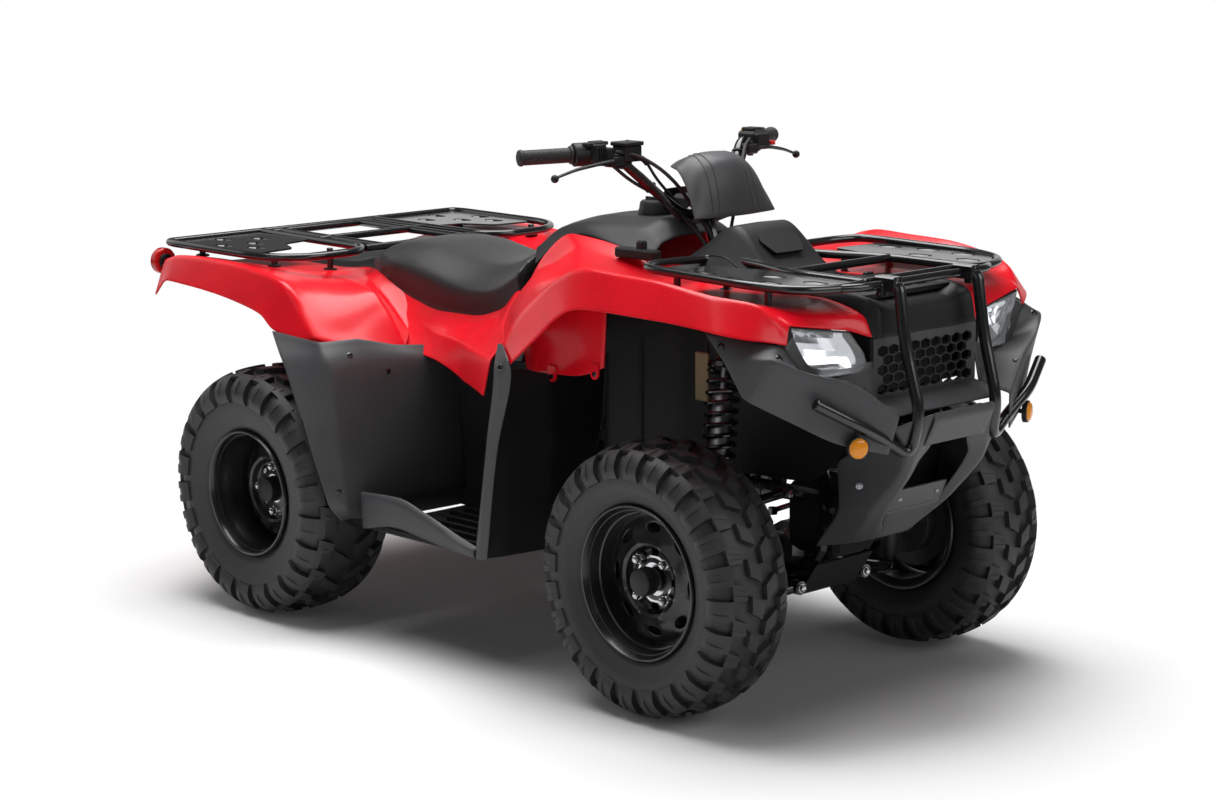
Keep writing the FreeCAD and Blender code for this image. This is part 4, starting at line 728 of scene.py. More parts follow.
def lugShells(tyre, curve, sign):  # knobs: slices across the profile, each with a flat top and cut edges
    along = np.concatenate([[0.0], np.cumsum(np.linalg.norm(np.diff(curve, axis=0), axis=1))])
    slope = np.gradient(curve, axis=0)
    normal = unit(np.stack([-slope[:, 1], slope[:, 0]], -1))
    pitchLength = 2 * np.pi * tyre["radius"] / tyre["pitches"]
    halfPitch = 0.5 * pitchLength / tyre["radius"] if sign > 0 else 0.0
    shells = []
    for index in range(tyre["pitches"]):
        for lug in tyre["lugs"]:
            s0, s1 = lug["across"]
            count = max(4, int((s1 - s0) / knob["slice"]) + 1)
            s = np.concatenate([[s0], np.linspace(s0 + knob["inset"], s1 - knob["inset"], count), [s1]])
            share = (s - s0) / (s1 - s0)
            lean, length = (lug[key][0] + (lug[key][1] - lug[key][0]) * share for key in ("lean", "length"))
            high = np.full(len(s), tyre["lug"])
            if "fade" in lug:
                high = high * np.interp(share, [0, 1 - lug["fade"], 1], [1, 1, knob["faded"]])
            dip = np.where((share > 0.30) & (share < 0.70), lug.get("dip", 0.0), 0.0)
            heights = [np.full(len(s), knob["sunk"]), high - knob["cutEdge"], high, high - dip]
            t = np.stack([lean + place * length + shift for place, level, shift in knobRows], 1)
            rise = np.stack([heights[level] for place, level, shift in knobRows], 1)
            rise[[0, -1]] = np.minimum(rise[[0, -1]], knob["sunk"])
            y, r = (np.interp(s, along, curve[:, k])[:, None]
                + np.interp(s, along, normal[:, k])[:, None] * rise for k in (0, 1))
            r = np.minimum(r, tyre["radius"])
            turn = (index * pitchLength + t) / tyre["radius"] + halfPitch
            verts = np.stack([r * np.sin(turn), sign * y, -r * np.cos(turn)], -1).reshape(-1, 3) * mm
            shells.append(capped(verts, *t.shape))
    return shells


def tyreShells(tyre):  # the carcass turned all the way, with knobs on both halves
    curve = carcassPoints(tyre)
    rim, bead = tyre["rim"], tyre["bead"]
    outline = [(-y, r) for y, r in curve[::-1]] + [(y, r) for y, r in curve[1:]]
    for place, depth, wide in tyre["rings"]:  # fine raised rings on the sidewall
        outline = [(y + math.copysign(depth, y) * math.exp(-((r - place) / wide) ** 2)
            if abs(y) > bead else y, r) for y, r in outline]
    outline += [(bead - 4.0, rim + 0.6), (-bead + 4.0, rim + 0.6)]
    shells = [lathe(outline, 144)]
    for sign in (-1, 1):
        shells += lugShells(tyre, curve, sign)
    return shells


def piercedRing(inner, outer, sectors, hole, front, turned=0.0, wall=4.0, steps=40, rows=6):
    # A ring of pressed sheet with one window in each sector: loops of points run from the
    # window's edge out to the sector's edge, in front and behind, joined through the window.
    k = np.arange(steps) * 2 * np.pi / steps
    borderA = np.clip(np.sqrt(2) * np.cos(k), -1, 1) * np.pi / sectors
    borderR = (inner + outer) / 2 + np.clip(np.sqrt(2) * np.sin(k), -1, 1) * (outer - inner) / 2
    power = 2.0 / hole.get("square", 2.0)
    holeA = np.sign(np.cos(k)) * np.abs(np.cos(k)) ** power * hole["wide"] / 2.0 / hole["at"]
    holeR = hole["at"] + np.sign(np.sin(k)) * np.abs(np.sin(k)) ** power * hole["tall"] / 2.0
    holeA = holeA * (1.0 + hole.get("flare", 0.0) * (holeR - hole["at"]) / (hole["tall"] / 2.0))
    share = (np.linspace(0, 1, rows) ** 1.3)[:, None]
    angle = holeA * (1 - share) + borderA * share
    radius = holeR * (1 - share) + borderR * share
    lip = np.exp(-share * 9.0) * hole.get("lip", 0.0)
    verts, faces = [], []
    for sector in range(sectors):
        turn = angle + turned + 2 * np.pi * sector / sectors
        for back in (0, 1):
            y = front(radius) + lip + back * wall
            verts.append(np.stack([radius * np.cos(turn), y, radius * np.sin(turn)], -1).reshape(-1, 3))
        base = sector * 2 * rows * steps
        grid = gridFaces(rows, steps, False, True)
        edge, after = np.arange(steps), np.arange(1, steps + 1) % steps
        through = np.stack([edge, after, rows * steps + after, rows * steps + edge], -1)
        faces.append(np.concatenate([grid[:, ::-1], grid + rows * steps, through]) + base)
    verts, faces = np.concatenate(verts), np.concatenate(faces)
    _, first, same = np.unique(np.round(verts, 3), axis=0, return_index=True, return_inverse=True)
    verts, faces = verts[first], same.reshape(-1)[faces]
    used = set()
    for face in faces.tolist():
        used.update(zip(face, face[1:] + face[:1]))
    loose = {a: b for a, b in used if (b, a) not in used}
    return sealed((verts * mm, faces.tolist() + rimWalls(verts, loose)))


def rimWalls(verts, nextOf):  # joins the front and back loops at the ring's two edges
    ends, flat = np.array(list(nextOf)), verts[:, [0, 2]]
    walls = []
    for a, b in nextOf.items():
        near = ends[(np.abs(flat[ends] - flat[b]) < 0.01).all(1) & (ends != a) & (ends != b)].tolist()
        if near and a < near[0]:
            walls.append([b, a, nextOf[near[0]], near[0]])
    return walls


def discFace(base, rise, run, wide):  # dished towards the edge, with a groove round the middle
    return lambda r: base + rise * np.clip((r - 84) / run, 0, 1) ** 2 - 8.0 * np.exp(-((r - 80) / wide) ** 2)


def middleFace(edge, drop):  # rises a little and drops off before the groove
    return lambda r: (-26.0 + 6.0 * np.clip((r - 36) / 30.0, 0, 1)
        - drop * np.clip((r - edge) / 10.0, 0, 1) ** 2)


middleHole = dict(at=56, wide=19, tall=19, square=4.0, flare=0.28)
rims = {
    "front": dict(outline=[(-80, 167), (-82, 165), (-82, 162), (-79, 160), (-72, 157), (-60, 151), (-52, 149),
        (-46, 147), (-44, 144), (-30, 142), (74, 142), (78, 152), (82, 160), (82, 165), (79, 168), (76, 165),
        (74, 158), (68, 154), (-20, 148), (-40, 151), (-50, 154), (-66, 158), (-74, 162), (-77, 168)],
        disc=dict(inner=72, outer=141, sectors=8, hole=dict(at=112, wide=40, tall=21, lip=2.5),
            front=discFace(-33.0, 16.0, 50.0, 9.0)),
        middle=dict(inner=36, outer=72.5, sectors=4, hole=middleHole, front=middleFace(62, 18.0))),
    "rear": dict(outline=[(-105, 153), (-108, 151), (-108, 148), (-105, 145), (-96, 143), (-84, 139),
        (-70, 137), (-62, 132), (-20, 130), (30, 129), (99, 130), (104, 140), (108, 148), (108, 151),
        (105, 154), (102, 151), (100, 146), (94, 140), (30, 136), (-60, 138), (-70, 141), (-86, 144),
        (-97, 147), (-102, 154)],
        disc=dict(inner=74, outer=130, sectors=8, hole=dict(at=104, wide=34, tall=17, lip=2.0),
            front=discFace(-31.0, 24.0, 46.0, 8.0)),
        middle=dict(inner=36, outer=74.5, sectors=4, hole=middleHole, front=middleFace(64, 16.0),
            turned=np.pi / 4)),
}


def rimShells(rim):  # the barrel and the two pierced rings of its disc
    return [lathe(rim["outline"], 128), piercedRing(**rim["disc"]), piercedRing(**rim["middle"])]


tyres = {  # "lugs" run across from the crown, leaning round the tyre
    "front": dict(radius=297.5, width=200.0, lug=13.0, rim=152.5, bead=72.0, pitches=24,
        lugs=[dict(across=(3, 36), lean=(-20, 2), length=(30, 34)),
            dict(across=(44, 76), lean=(26, 34), length=(26, 38), dip=2.5),
            dict(across=(70, 132), lean=(-8, -10), length=(42, 50), dip=3.0, fade=0.35)],
        rings=[(254, 0.9, 1.2), (238, 0.5, 1.0), (182, 0.6, 1.2), (170, 1.0, 1.5)]),
    "rear": dict(radius=303.0, width=240.0, lug=14.0, rim=140.0, bead=96.0, pitches=22,
        lugs=[dict(across=(2, 54), lean=(-26, 6), length=(24, 30)),
            dict(across=(60, 98), lean=(30, 40), length=(24, 34), dip=2.5),
            dict(across=(84, 156), lean=(-2, -6), length=(50, 60), dip=3.0, fade=0.35)],
        rings=[(252, 0.9, 1.2), (236, 0.5, 1.0), (172, 0.6, 1.2), (158, 1.0, 1.5)]),
}
axles = {"front": (633.5, 419.0, 297.5), "rear": (-633.5, 467.0, 303.0)}


def hubShells(kind):  # dark cap with a domed face
    face = -70.0 if kind == "front" else -51.0
    return [lathe([(face + 40, 26), (face + 26, 31), (face + 5, 30), (face + 1, 28.5), (face - 0.5, 25),
        (face - 0.5, 0.01), (face + 40, 0.01)], 48)]


def nutShells(kind):  # four bright domed nuts on a circle of 55 mm
    face, turn = (-42.0, np.pi / 4) if kind == "front" else (-33.0, 0.0)
    shells = []
    for k in range(4):
        a = turn + k * np.pi / 2
        place = (55.0 * math.cos(a), face + 12, 55.0 * math.sin(a))
        seat = solid([(-4, 14.0), (2, 13.0), (5, 10.5)], 24)
        nut = solid([(3, 9.6), (12, 9.6), (14, 8.4)], 6)
        stud = solid([(12, 6.0), (17, 5.8), (18, 4.2)], 16)
        shells += [aimed(s, place, (0, -1, 0)) for s in (seat, nut, stud)]
    return shells


def standing(shells, place):  # mirrored for the left side, then carried to its place
    side = [mirrored(shell) for shell in shells] if place[1] > 0 else shells
    return [(verts + np.array(place) * mm, faces) for verts, faces in side]


wheelShells = {kind: dict(tyre=tyreShells(tyres[kind]), rim=rimShells(rims[kind]), hub=hubShells(kind),
    nuts=nutShells(kind)) for kind in tyres}
rearRims = []
drum = solid([(8, 112), (12, 118), (30, 118), (32, 116)], 64, axis="Y")
for kind, (x, halfTrack, z) in axles.items():
    shells = wheelShells[kind]
    for side, sign in (("right", -1), ("left", 1)):
        place = (x, sign * halfTrack, z)
        name = kind.title() + side.title()
        body = "wheel_front_" + side if kind == "front" else "rear_wheels"
        tyre = standing(shells["tyre"], place)
        makePiece("tyre" + name, tyre, "tyreRubber", [kind + "_tyre_" + side], body=body)
        rim = standing(shells["rim"], place)
        if kind == "rear":
            rearRims += rim
        else:
            makePiece("rim" + name, rim, "rimBlack", ["front_rim_" + side], body=body)
            makePiece("brakeDrum" + name, standing([drum], place), "darkCast", body=body)
        makePiece("hubCap" + name, standing(shells["hub"], place), "blackPlastic", body=body)
        makePiece("wheelNuts" + name, standing(shells["nuts"], place), "brightSteel", body=body)
makePiece("rimsRear", rearRims, "rimBlack", ["rear_rims"], body="rear_wheels")
print("wheels ready")


# Saddle
# Rings from the rear to the front: place, underside, half width, side and crown heights.

seat = dict(
    rings=[(-684, 812, 96, 826, 836), (-662, 800, 150, 834, 852), (-610, 784, 176, 844, 872),
        (-540, 764, 188, 846, 882), (-464, 742, 192, 838, 879), (-390, 726, 193, 824, 866),
        (-331, 718, 192, 812, 857), (-270, 720, 190, 804, 853), (-200, 732, 188, 806, 858),
        (-140, 752, 186, 824, 876), (-84, 792, 180, 858, 904)],
    across=[(0.0, 1.0, 1), (0.34, 0.96, 1), (0.62, 0.8, 1), (0.84, 0.38, 1), (0.96, -0.02, 1),
        (1.0, 0.8, 0), (0.995, 0.45, 0), (0.965, 0.12, 0), (0.9, 0.0, 0), (0.45, 0.0, 0)],
    voxel=0.006, pressure=4.0, most=0.004)


def seatShell(rings, across, **rest):  # crown points lie between side and crown, flank points below
    rings = np.array(rings, float)
    at = np.linspace(rings[0, 0], rings[-1, 0], 90)
    x, bottom, half, side, top = (np.interp(at, rings[:, 0], rings[:, k]) for k in range(5))
    for _ in range(10):
        for values in (bottom, half, side, top):
            values[1:-1] = (values[:-2] + 2 * values[1:-1] + values[2:]) / 4
    right = np.stack([np.stack([x, -half * wide,
        side + (top - side) * high if crown else bottom + (side - bottom) * high], -1)
        for wide, high, crown in across], 1)
    left = right[:, :0:-1] * [1, -1, 1]
    under = np.stack([x, 0 * x, bottom], -1)[:, None]
    loop = np.concatenate([right, under, left], 1)
    columns = loop.shape[1]
    share = np.linspace(0, columns, 96, endpoint=False)
    k = share.astype(int)
    t = (share - k)[None, :, None]
    p = [loop[:, (k + step) % columns] for step in (-1, 0, 1, 2)]
    fine = 0.5 * ((2 * p[1]) + (p[2] - p[0]) * t + (2 * p[0] - 5 * p[1] + 4 * p[2] - p[3]) * t ** 2
        + (3 * p[1] - p[0] - 3 * p[2] + p[3]) * t ** 3)
    middle = fine.mean(1, keepdims=True)
    drawn = []
    for end, reach in ((slice(0, 1), -6.0), (slice(-1, None), 4.0)):  # rings that draw in at each end
        drawn.append([middle[end] + (fine[end] - middle[end]) * s + np.array([(1 - s) * reach, 0, 0])
            for s in (0.3, 0.7, 0.9)])
    fine = np.concatenate(drawn[0] + [fine] + drawn[1][::-1])
    return capped(fine.reshape(-1, 3) * mm, *fine.shape[:2])


def applied(piece, kind, **settings):  # adds one modifier and bakes it into the mesh
    modifier = piece.modifiers.new(kind.title(), kind)
    for key, value in settings.items():
        setattr(modifier, key, value)
    bake(piece)


def bake(piece):  # keeps what the modifiers make as the mesh
    depsgraph = bpy.context.evaluated_depsgraph_get()
    mesh = bpy.data.meshes.new_from_object(piece.evaluated_get(depsgraph))
    piece.modifiers.clear()
    piece.data = mesh


def meshPoints(mesh):  # all vertices, one row each
    values = np.empty(len(mesh.vertices) * 3)
    mesh.vertices.foreach_get("co", values)
    return values.reshape(-1, 3)


def puffed(piece, voxel, pressure, most):  # cloth blown up a little, no vertex moving more than "most"
    applied(piece, "REMESH", mode="VOXEL", voxel_size=voxel)
    before = meshPoints(piece.data)
    held = piece.vertex_groups.new(name="held")
    low = before[:, 2] < np.interp(before[:, 0] / mm, [r[0] for r in seat["rings"]],
        [r[1] for r in seat["rings"]]) * mm + 0.012
    held.add(np.nonzero(low)[0].tolist(), 1.0, "REPLACE")
    cloth = piece.modifiers.new("Cloth", "CLOTH")
    cloth.settings.use_pressure = True
    cloth.settings.uniform_pressure_force = pressure
    cloth.settings.vertex_group_mass = "held"
    cloth.settings.tension_stiffness = cloth.settings.compression_stiffness = 30.0
    cloth.settings.effector_weights.gravity = 0.0
    cloth.point_cache.frame_start, cloth.point_cache.frame_end = 1, 20
    for step in range(1, 21):
        bpy.context.scene.frame_set(step)
    bake(piece)
    bpy.context.scene.frame_set(1)
    shift = meshPoints(piece.data) - before
    length = np.linalg.norm(shift, axis=1, keepdims=True)
    after = before + shift * np.minimum(1.0, most / np.maximum(length, 1e-9))
    piece.data.vertices.foreach_set("co", after.ravel())
    applied(piece, "SUBSURF", levels=1, render_levels=1)


saddle = makePiece("saddle", [seatShell(**seat)], "seatVinyl", ["seat"], sharp=180.0)
puffed(saddle, seat["voxel"], seat["pressure"], seat["most"])
saddle.data.shade_smooth()
print("saddle ready")


# Racks

racks = {
    "frontRack": dict(
        sides=[[(968, -170, 930), (966, -238, 926), (932, -330, 928), (834, -362, 932), (560, -356, 937),
            (510, -346, 938), (482, -290, 936), (471, -200, 934), (476, -118, 932), (510, -98, 932),
            (612, -111, 932), (760, -166, 932), (975, -166, 931)]],
        middle=[[(966, -238, 926), (990, -200, 927), (992, 0, 928), (990, 200, 927), (966, 238, 926)],
            [(958, -166, 930), (958, 166, 930)], [(758, -166, 932), (758, 166, 932)]],
        feet=[(600, -340, 880), (860, -340, 884), (600, -190, 884)],
        plate=dict(outline=[(560, -200), (575, -345), (740, -350), (900, -338), (955, -262), (950, -176),
            (700, -172), (640, -190)], low=929, high=933,
            wells=[(640, -300), (735, -318), (780, -236), (838, -312), (905, -246)])),
    "rearRack": dict(
        sides=[[(-1078, -160, 866), (-1078, -470, 866), (-1040, -478, 866), (-720, -474, 864),
            (-650, -450, 863), (-600, -380, 862), (-598, -250, 862), (-640, -190, 864), (-1068, -182, 866)],
            [(-1060, -130, 864), (-640, -130, 862)]],
        middle=[[(-1078, -175, 866), (-1078, 175, 866)], [(-1056, -175, 864), (-1056, 175, 864)],
            [(-850, -180, 864), (-850, 180, 864)], [(-640, -186, 862), (-640, 186, 862)]],
        feet=[(-700, -420, 838), (-1000, -420, 836), (-700, -250, 812)],
        plate=dict(outline=[(-1068, -200), (-1062, -455), (-1020, -470), (-800, -466), (-730, -440),
        (-745, -330), (-830, -290), (-850, -200)], low=863, high=867,
            wells=[(-1005, -352), (-955, -274), (-905, -420), (-815, -390), (-885, -340)])),
}
rackTube, wellSize = 9.5, 26


def wellPoints(x, y):  # the six-sided recess round a plate's bolt
    shape = [(-1.3, 0), (-0.75, -0.62), (0.75, -0.62), (1.3, 0), (0.75, 0.62), (-0.75, 0.62)]
    return roundedCorners([(x + a * wellSize, y + b * wellSize) for a, b in shape], 5.0, 4)


def plateShells(outline, low, high, wells):  # a rounded plate with a recess round each bolt
    shells = [cutPlate(roundedCorners(outline, 16.0, 5), [wellPoints(x, y) for x, y in wells], low, high)]
    for x, y in wells:  # a dished bowl in every recess, with its bolt
        outer = wellPoints(x, y)
        middle = np.array([x, y])
        loops = [(1.06, high - 1.0), (0.98, high - 2.0), (0.72, low - 5.0), (0.60, low - 6.0),
            (0.60, low - 8.0), (0.75, low - 7.5), (1.06, low - 2.0)]
        rows = np.stack([np.concatenate([middle + (outer - middle) * scale, np.full((len(outer), 1), z)], 1)
            for scale, z in loops])
        count = len(outer)
        faces = gridFaces(len(loops), count, True, True).tolist()
        shells.append(outward((rows.reshape(-1, 3) * mm, faces)))
        floor = outer * 0.62 + middle * 0.38
        shells.append(cutPlate(floor, [], low - 8.0, low - 5.5))
        shells += rivetShell((x, y, low - 5.5), (0, 0, 1), 7.0, 3.0)
    return shells


for name, rack in racks.items():
    shells = []
    for points in rack["sides"]:
        shells += bothSides([tubeShell(points, rackTube, 60.0)])
    shells += [tubeShell(points, rackTube - 0.5, 40.0) for points in rack["middle"]]
    for x, y, z in rack["feet"]:
        post = tubeShell([(x, y, rack["plate"]["low"]), (x, y, z)], 8.0)
        base = solid([(0, 17), (4, 17), (6, 12)], 24, (x, y, z - 4))
        shells += bothSides([post, base])
    shells += bothSides(plateShells(**rack["plate"]))
    makePiece(name, shells, "blackSteel", [nodeName(name)])
print("racks ready")


# Bumper, grille and lamps

bumperPath = [(1004, -126, 928), (1026, -127, 925), (1046, -127, 800), (1084, -125, 668), (1066, -134, 578),
    (1056, -193, 616), (1050, -280, 662), (1014, -367, 712)]
tube = tubeShell(bumperPath, 12.7, 34.0, 18, 6.0)
clamp = softBox((968, -140, 914), (1024, -112, 944), 3.0)
ear = softBox((985, -152, 902), (1003, -132, 930), 2.0)
bolts = boltShell((994, -152, 912), (0, -1, 0), 6.0) + boltShell((1024, -126, 936), (1, 0, 0.2), 5.0)
stay = tubeShell([(1078, -122, 640), (1030, -112, 640)], 8.0)
makePiece("bumper", bothSides([tube, clamp, ear] + bolts) + bothSides([stay]), "blackSteel", ["bumper"])

grille = dict(half=166.0, low=694.0, high=817.0, back=984.0, front=993.0, wide=34.0, rise=20.0, web=1.8)


def honeycomb(half, low, high, wide, rise, web, **rest):  # six-sided windows in staggered rows
    turn = np.radians(np.arange(6) * 60 + 90)
    across, up = np.cos(turn) * (wide - web) / math.sqrt(3), np.sin(turn) * (rise / 1.5 - web * 0.58)
    shape = np.stack([across, up], -1)
    holes = []
    for row in range(int((high - low - 10.0) / rise)):
        for k in range(-6, 7):
            y = (k + 0.5 * (row % 2)) * wide
            if abs(y) < half - wide * 0.52:
                holes.append(shape + [y, low + 15.0 + row * rise])
    return holes


edge = [(-grille["half"], grille["low"]), (grille["half"], grille["low"]), (grille["half"], grille["high"]),
    (-grille["half"], grille["high"])]
holes = honeycomb(**grille)
net = cutPlate(edge, holes, grille["back"], grille["front"], facingForward)
sillRows = [wholeRow([(x, -half, z), (x, 0, z)])
    for x, half, z in ((986, 166, 695), (1024, 166, 686), (1062, 164, 669))]
makePiece("grilleNet", [net, sheet(sillRows, 0.004)], "greyPlastic", ["grille"])
# Painted shade: a near-black plate and side walls behind the grille, so that its windows look into shade.
backing = cutPlate([(-168, 690), (168, 690), (168, 830), (-168, 830)], [], 935.0, 938.0, facingForward)
sides = softBox((937, 164, 692), (984, 167, 818), 0.5)
makePiece("grilleShadeBacking", [backing] + bothSides([sides]), "deepBlack")

lampRows = [
    [(986, -176, 752), (982, -186, 790), (966, -212, 833)],
    [(970, -288, 750), (968, -290, 800), (954, -290, 845)],
    [(954, -320, 768), (954, -325, 810), (949, -335, 852)],
    [(945, -357, 826), (945, -360, 840), (944, -366, 857)],
]


def lampGrid(back, shrink, spacing):  # the lamp's face, moved back and drawn in towards its middle
    points = np.array(lampRows, float)
    middle = points.mean((0, 1))
    return panelGrid((points - middle) * [1, shrink, shrink] + middle - [back, 0, 0], spacing, 0.004)


lens = sheetShell(lampGrid(-1.0, 0.985, (0.008, 0.008)), 2.5 * mm)
makePiece("lampLenses", bothSides([lens]), "lensClear")
bowlGrid = lampGrid(20.0, 0.93, (0.0115, 0.012))
rows, columns = bowlGrid.shape[:2]
u, v = np.meshgrid(np.linspace(-1, 1, rows), np.linspace(-1, 1, columns), indexing="ij")
facets = 0.0035 * ((np.arange(rows)[:, None] + np.arange(columns)[None]) % 2)
bowlGrid[..., 0] -= 0.030 * (1 - u ** 2) * (1 - v ** 2) + facets
bowl = sheetShell(bowlGrid, 2.0 * mm)
makePiece("lampReflectors", bothSides([bowl]), "darkChrome", sharp=4.0)
rim = lampGrid(1.0, 1.0, (0.008, 0.008))
around = np.concatenate([rim[:, 0], rim[-1, 1:], rim[-2::-1, -1], rim[0, -2:0:-1]]) / mm
frameShell = sweep(around, 3.2, 8, closed=True)
backOf = sheetShell(lampGrid(54.0, 0.96, (0.02, 0.02)), 3.0 * mm)
middle = around.mean(0)
behind = (around - middle) * [1, 0.97, 0.97] + middle - [52.0, 0, 0]
thinner = (around - middle) * [1, 0.985, 0.985] + middle
wallRows = np.stack([around, behind, (behind - middle) * [1, 0.985, 0.985] + middle, thinner]) * mm
wallShell = outward((wallRows.reshape(-1, 3), gridFaces(4, len(around), True, True).tolist()))
makePiece("lampHousings", bothSides([frameShell, backOf, wallShell]), "blackPlastic", ["headlamps"])
skirtRows = [
    [(988, -166, 770), (992, -166, 735), (1000, -168, 692)],
    [(974, -240, 762), (976, -240, 750), (976, -240, 736)],
    [(960, -316, 772), (958, -318, 762), (958, -320, 750)],
    [(944, -362, 838), (944, -372, 828), (944, -382, 818)],
]
skirt = sheet(skirtRows, 0.006, -3.0)
makePiece("lampSkirts", bothSides([skirt]), "greyPlastic")
print("front ready")


# Handlebar, grips, controls and hoses
# All of these turn with the stem.

barPath = [(180, -400, 1152), (236, -280, 1155), (262, -205, 1157), (330, -110, 1050), (355.8, -72, 1013.9),
    (355.8, 0, 1013.9)]
right = roundedPath(barPath, 46.0, 7.0)
whole = np.concatenate([right, (right * [1, -1, 1])[-2::-1]])
makePiece("handlebar", [sweep(whole, 11.1, 20)], "blackSteel", ["handlebar"], body="steering")

gripEnd = np.array((180.0, -400.0, 1152.0))
gripWay = unit(np.array((56.0, 120.0, 3.0)))


def gripShells():  # a hand grip with fine rings, a collar and an end knob
    outline = [(-8, 0.01), (-8, 11), (-6, 16), (-3, 18.3), (2, 18.5), (4, 17)]
    for k in range(22):
        outline += [(6 + k * 4.6, 16.2), (7.6 + k * 4.6, 16.8), (9.2 + k * 4.6, 16.8)]
    outline += [(110, 16.2), (112, 20), (116, 20.3), (118, 19), (118, 11.6), (0, 11.6), (-0.5, 0.01)]
    return [turnedShell(outline, 40, gripEnd, gripWay)]


makePiece("grips", bothSides(gripShells()), "rubberBlack", ["grips"], body="steering")


def leverShells():  # a flattened blade with a finger bend and a ball end
    path = roundedPath([(286, -212, 1139), (298, -240, 1140), (298, -268, 1139), (284, -330, 1129),
        (276, -372, 1117), (274, -385, 1113)], 24.0, 5.0)
    size = np.interp(np.linspace(0, 1, len(path)), [0, 0.15, 0.4, 0.8, 1.0], [8.0, 8.5, 7.0, 5.2, 4.6])
    ball = lathe([(-9, 0.01), (-8.6, 3), (-6.4, 6.4), (-3, 8.5), (0, 9), (3, 8.5), (6.4, 6.4), (8.6, 3),
        (9, 0.01)],
        28, (274, -386, 1112), "Z")
    perch = softBox((262, -232, 1126), (300, -194, 1150), 4.0)
    arm = softBox((258, -250, 1130), (290, -226, 1147), 3.0)
    pivot = solid([(1122, 7), (1154, 7), (1155, 5.5)], 24, (288, -214, 0))
    return [sweep(path, size, 16, flat=0.62), ball, perch, arm, pivot]


def podShells():  # a switch housing of stepped blocks with its two screws
    collar = [(119, 12), (119, 24), (121, 26), (160, 26), (162, 24), (162, 12)]
    ring = turnedShell(collar, 36, gripEnd, gripWay)
    blocks = [softBox(low, high, edge) for low, high, edge in (
        ((238, -272, 1138), (284, -238, 1180), 3.5), ((244, -262, 1176), (280, -230, 1184), 2.5),
        ((232, -256, 1128), (262, -224, 1144), 3.0), ((262, -246, 1144), (292, -224, 1170), 2.5),
        ((240, -284, 1146), (262, -270, 1172), 2.5), ((248, -282, 1172), (272, -262, 1182), 2.0))]
    ribs = [softBox((283, -270 + 7 * k, 1142), (287, -267 + 7 * k, 1172), 1.0) for k in range(4)]
    screws = rivetShell((262, -238, 1184), (0, 0, 1), 4.0) + rivetShell((254, -258, 1180), (0, 0, 1), 3.6)
    return [ring] + blocks + ribs + screws


def tankShells():  # the square fluid box with its screwed lid and outlet
    body = softBox((260, -202, 1136), (304, -150, 1172), 3.0)
    lid = softBox((257, -205, 1171), (307, -147, 1180), 2.0)
    neck = solid([(1122, 11), (1138, 13)], 24, (280, -176, 0))
    outlet = tubeShell([(290, -156, 1146), (298, -142, 1140), (304, -134, 1128)], 6.5, 8.0, 14, 4.0)
    screws = rivetShell((266, -160, 1180), (0, 0, 1), 3.2) + rivetShell((298, -192, 1180), (0, 0, 1), 3.2)
    return [body, lid, neck, outlet] + screws


makePiece("controlsRight", podShells() + leverShells() + tankShells(), "blackPlastic", ["controls_right"],
    body="steering")
leftPod = [softBox((236, -276, 1134), (292, -222, 1176), 6.0),
    softBox((286, -268, 1140), (300, -226, 1172), 6.0)]
leftShells = [mirrored(shell) for shell in podShells() + leverShells() + leftPod]
makePiece("controlsLeft", leftShells, "blackPlastic", ["controls_left"], body="steering")
catch = mirrored(softBox((284, -292, 1142), (296, -276, 1152), 2.0))
makePiece("leverCatch", [catch], "redPaint", body="steering")
makePiece("hornButton", [softBox((232, 240, 1172), (240, 250, 1182), 2.0)], "yellowPlastic", body="steering")

hoses = {
    "brakeHose": dict(radius=3.4, path=[(304, -134, 1128), (314, -118, 1096), (330, -84, 1052),
        (344, -50, 1016), (372, -34, 960), (404, -22, 900), (420, -18, 850)]),
    "cableHose": dict(radius=4.0, path=[(270, -212, 1130), (286, -170, 1092), (318, -126, 1062),
        (352, -96, 1030), (378, -62, 984), (396, -30, 930), (420, -10, 850)]),
    "throttleHose": dict(radius=4.2, path=[(286, -214, 1160), (312, -170, 1150), (342, -130, 1120),
        (366, -100, 1082), (378, -74, 1040), (392, -42, 990), (402, -6, 930), (424, 4, 850)]),
    "leftHose": dict(radius=4.0, path=[(286, 214, 1160), (312, 170, 1150), (342, 130, 1120), (366, 100, 1082),
        (378, 74, 1040), (392, 44, 990), (404, 18, 930), (426, 14, 850)]),
}
shells = [tubeShell(hose["path"], hose["radius"], 40.0, 12, 6.0) for hose in hoses.values()]
makePiece("barHoses", shells, "rubberBlack", body="steering")


def loomShell(points, radius, pitch):  # a ribbed sleeve: its radius rises and falls along the path
    path = roundedPath(points, 40.0, pitch / 4.0)
    length = np.concatenate([[0], np.cumsum(np.linalg.norm(np.diff(path, axis=0), axis=1))])
    return sweep(path, radius + 0.9 * np.sin(length * 2 * np.pi / pitch), 14)


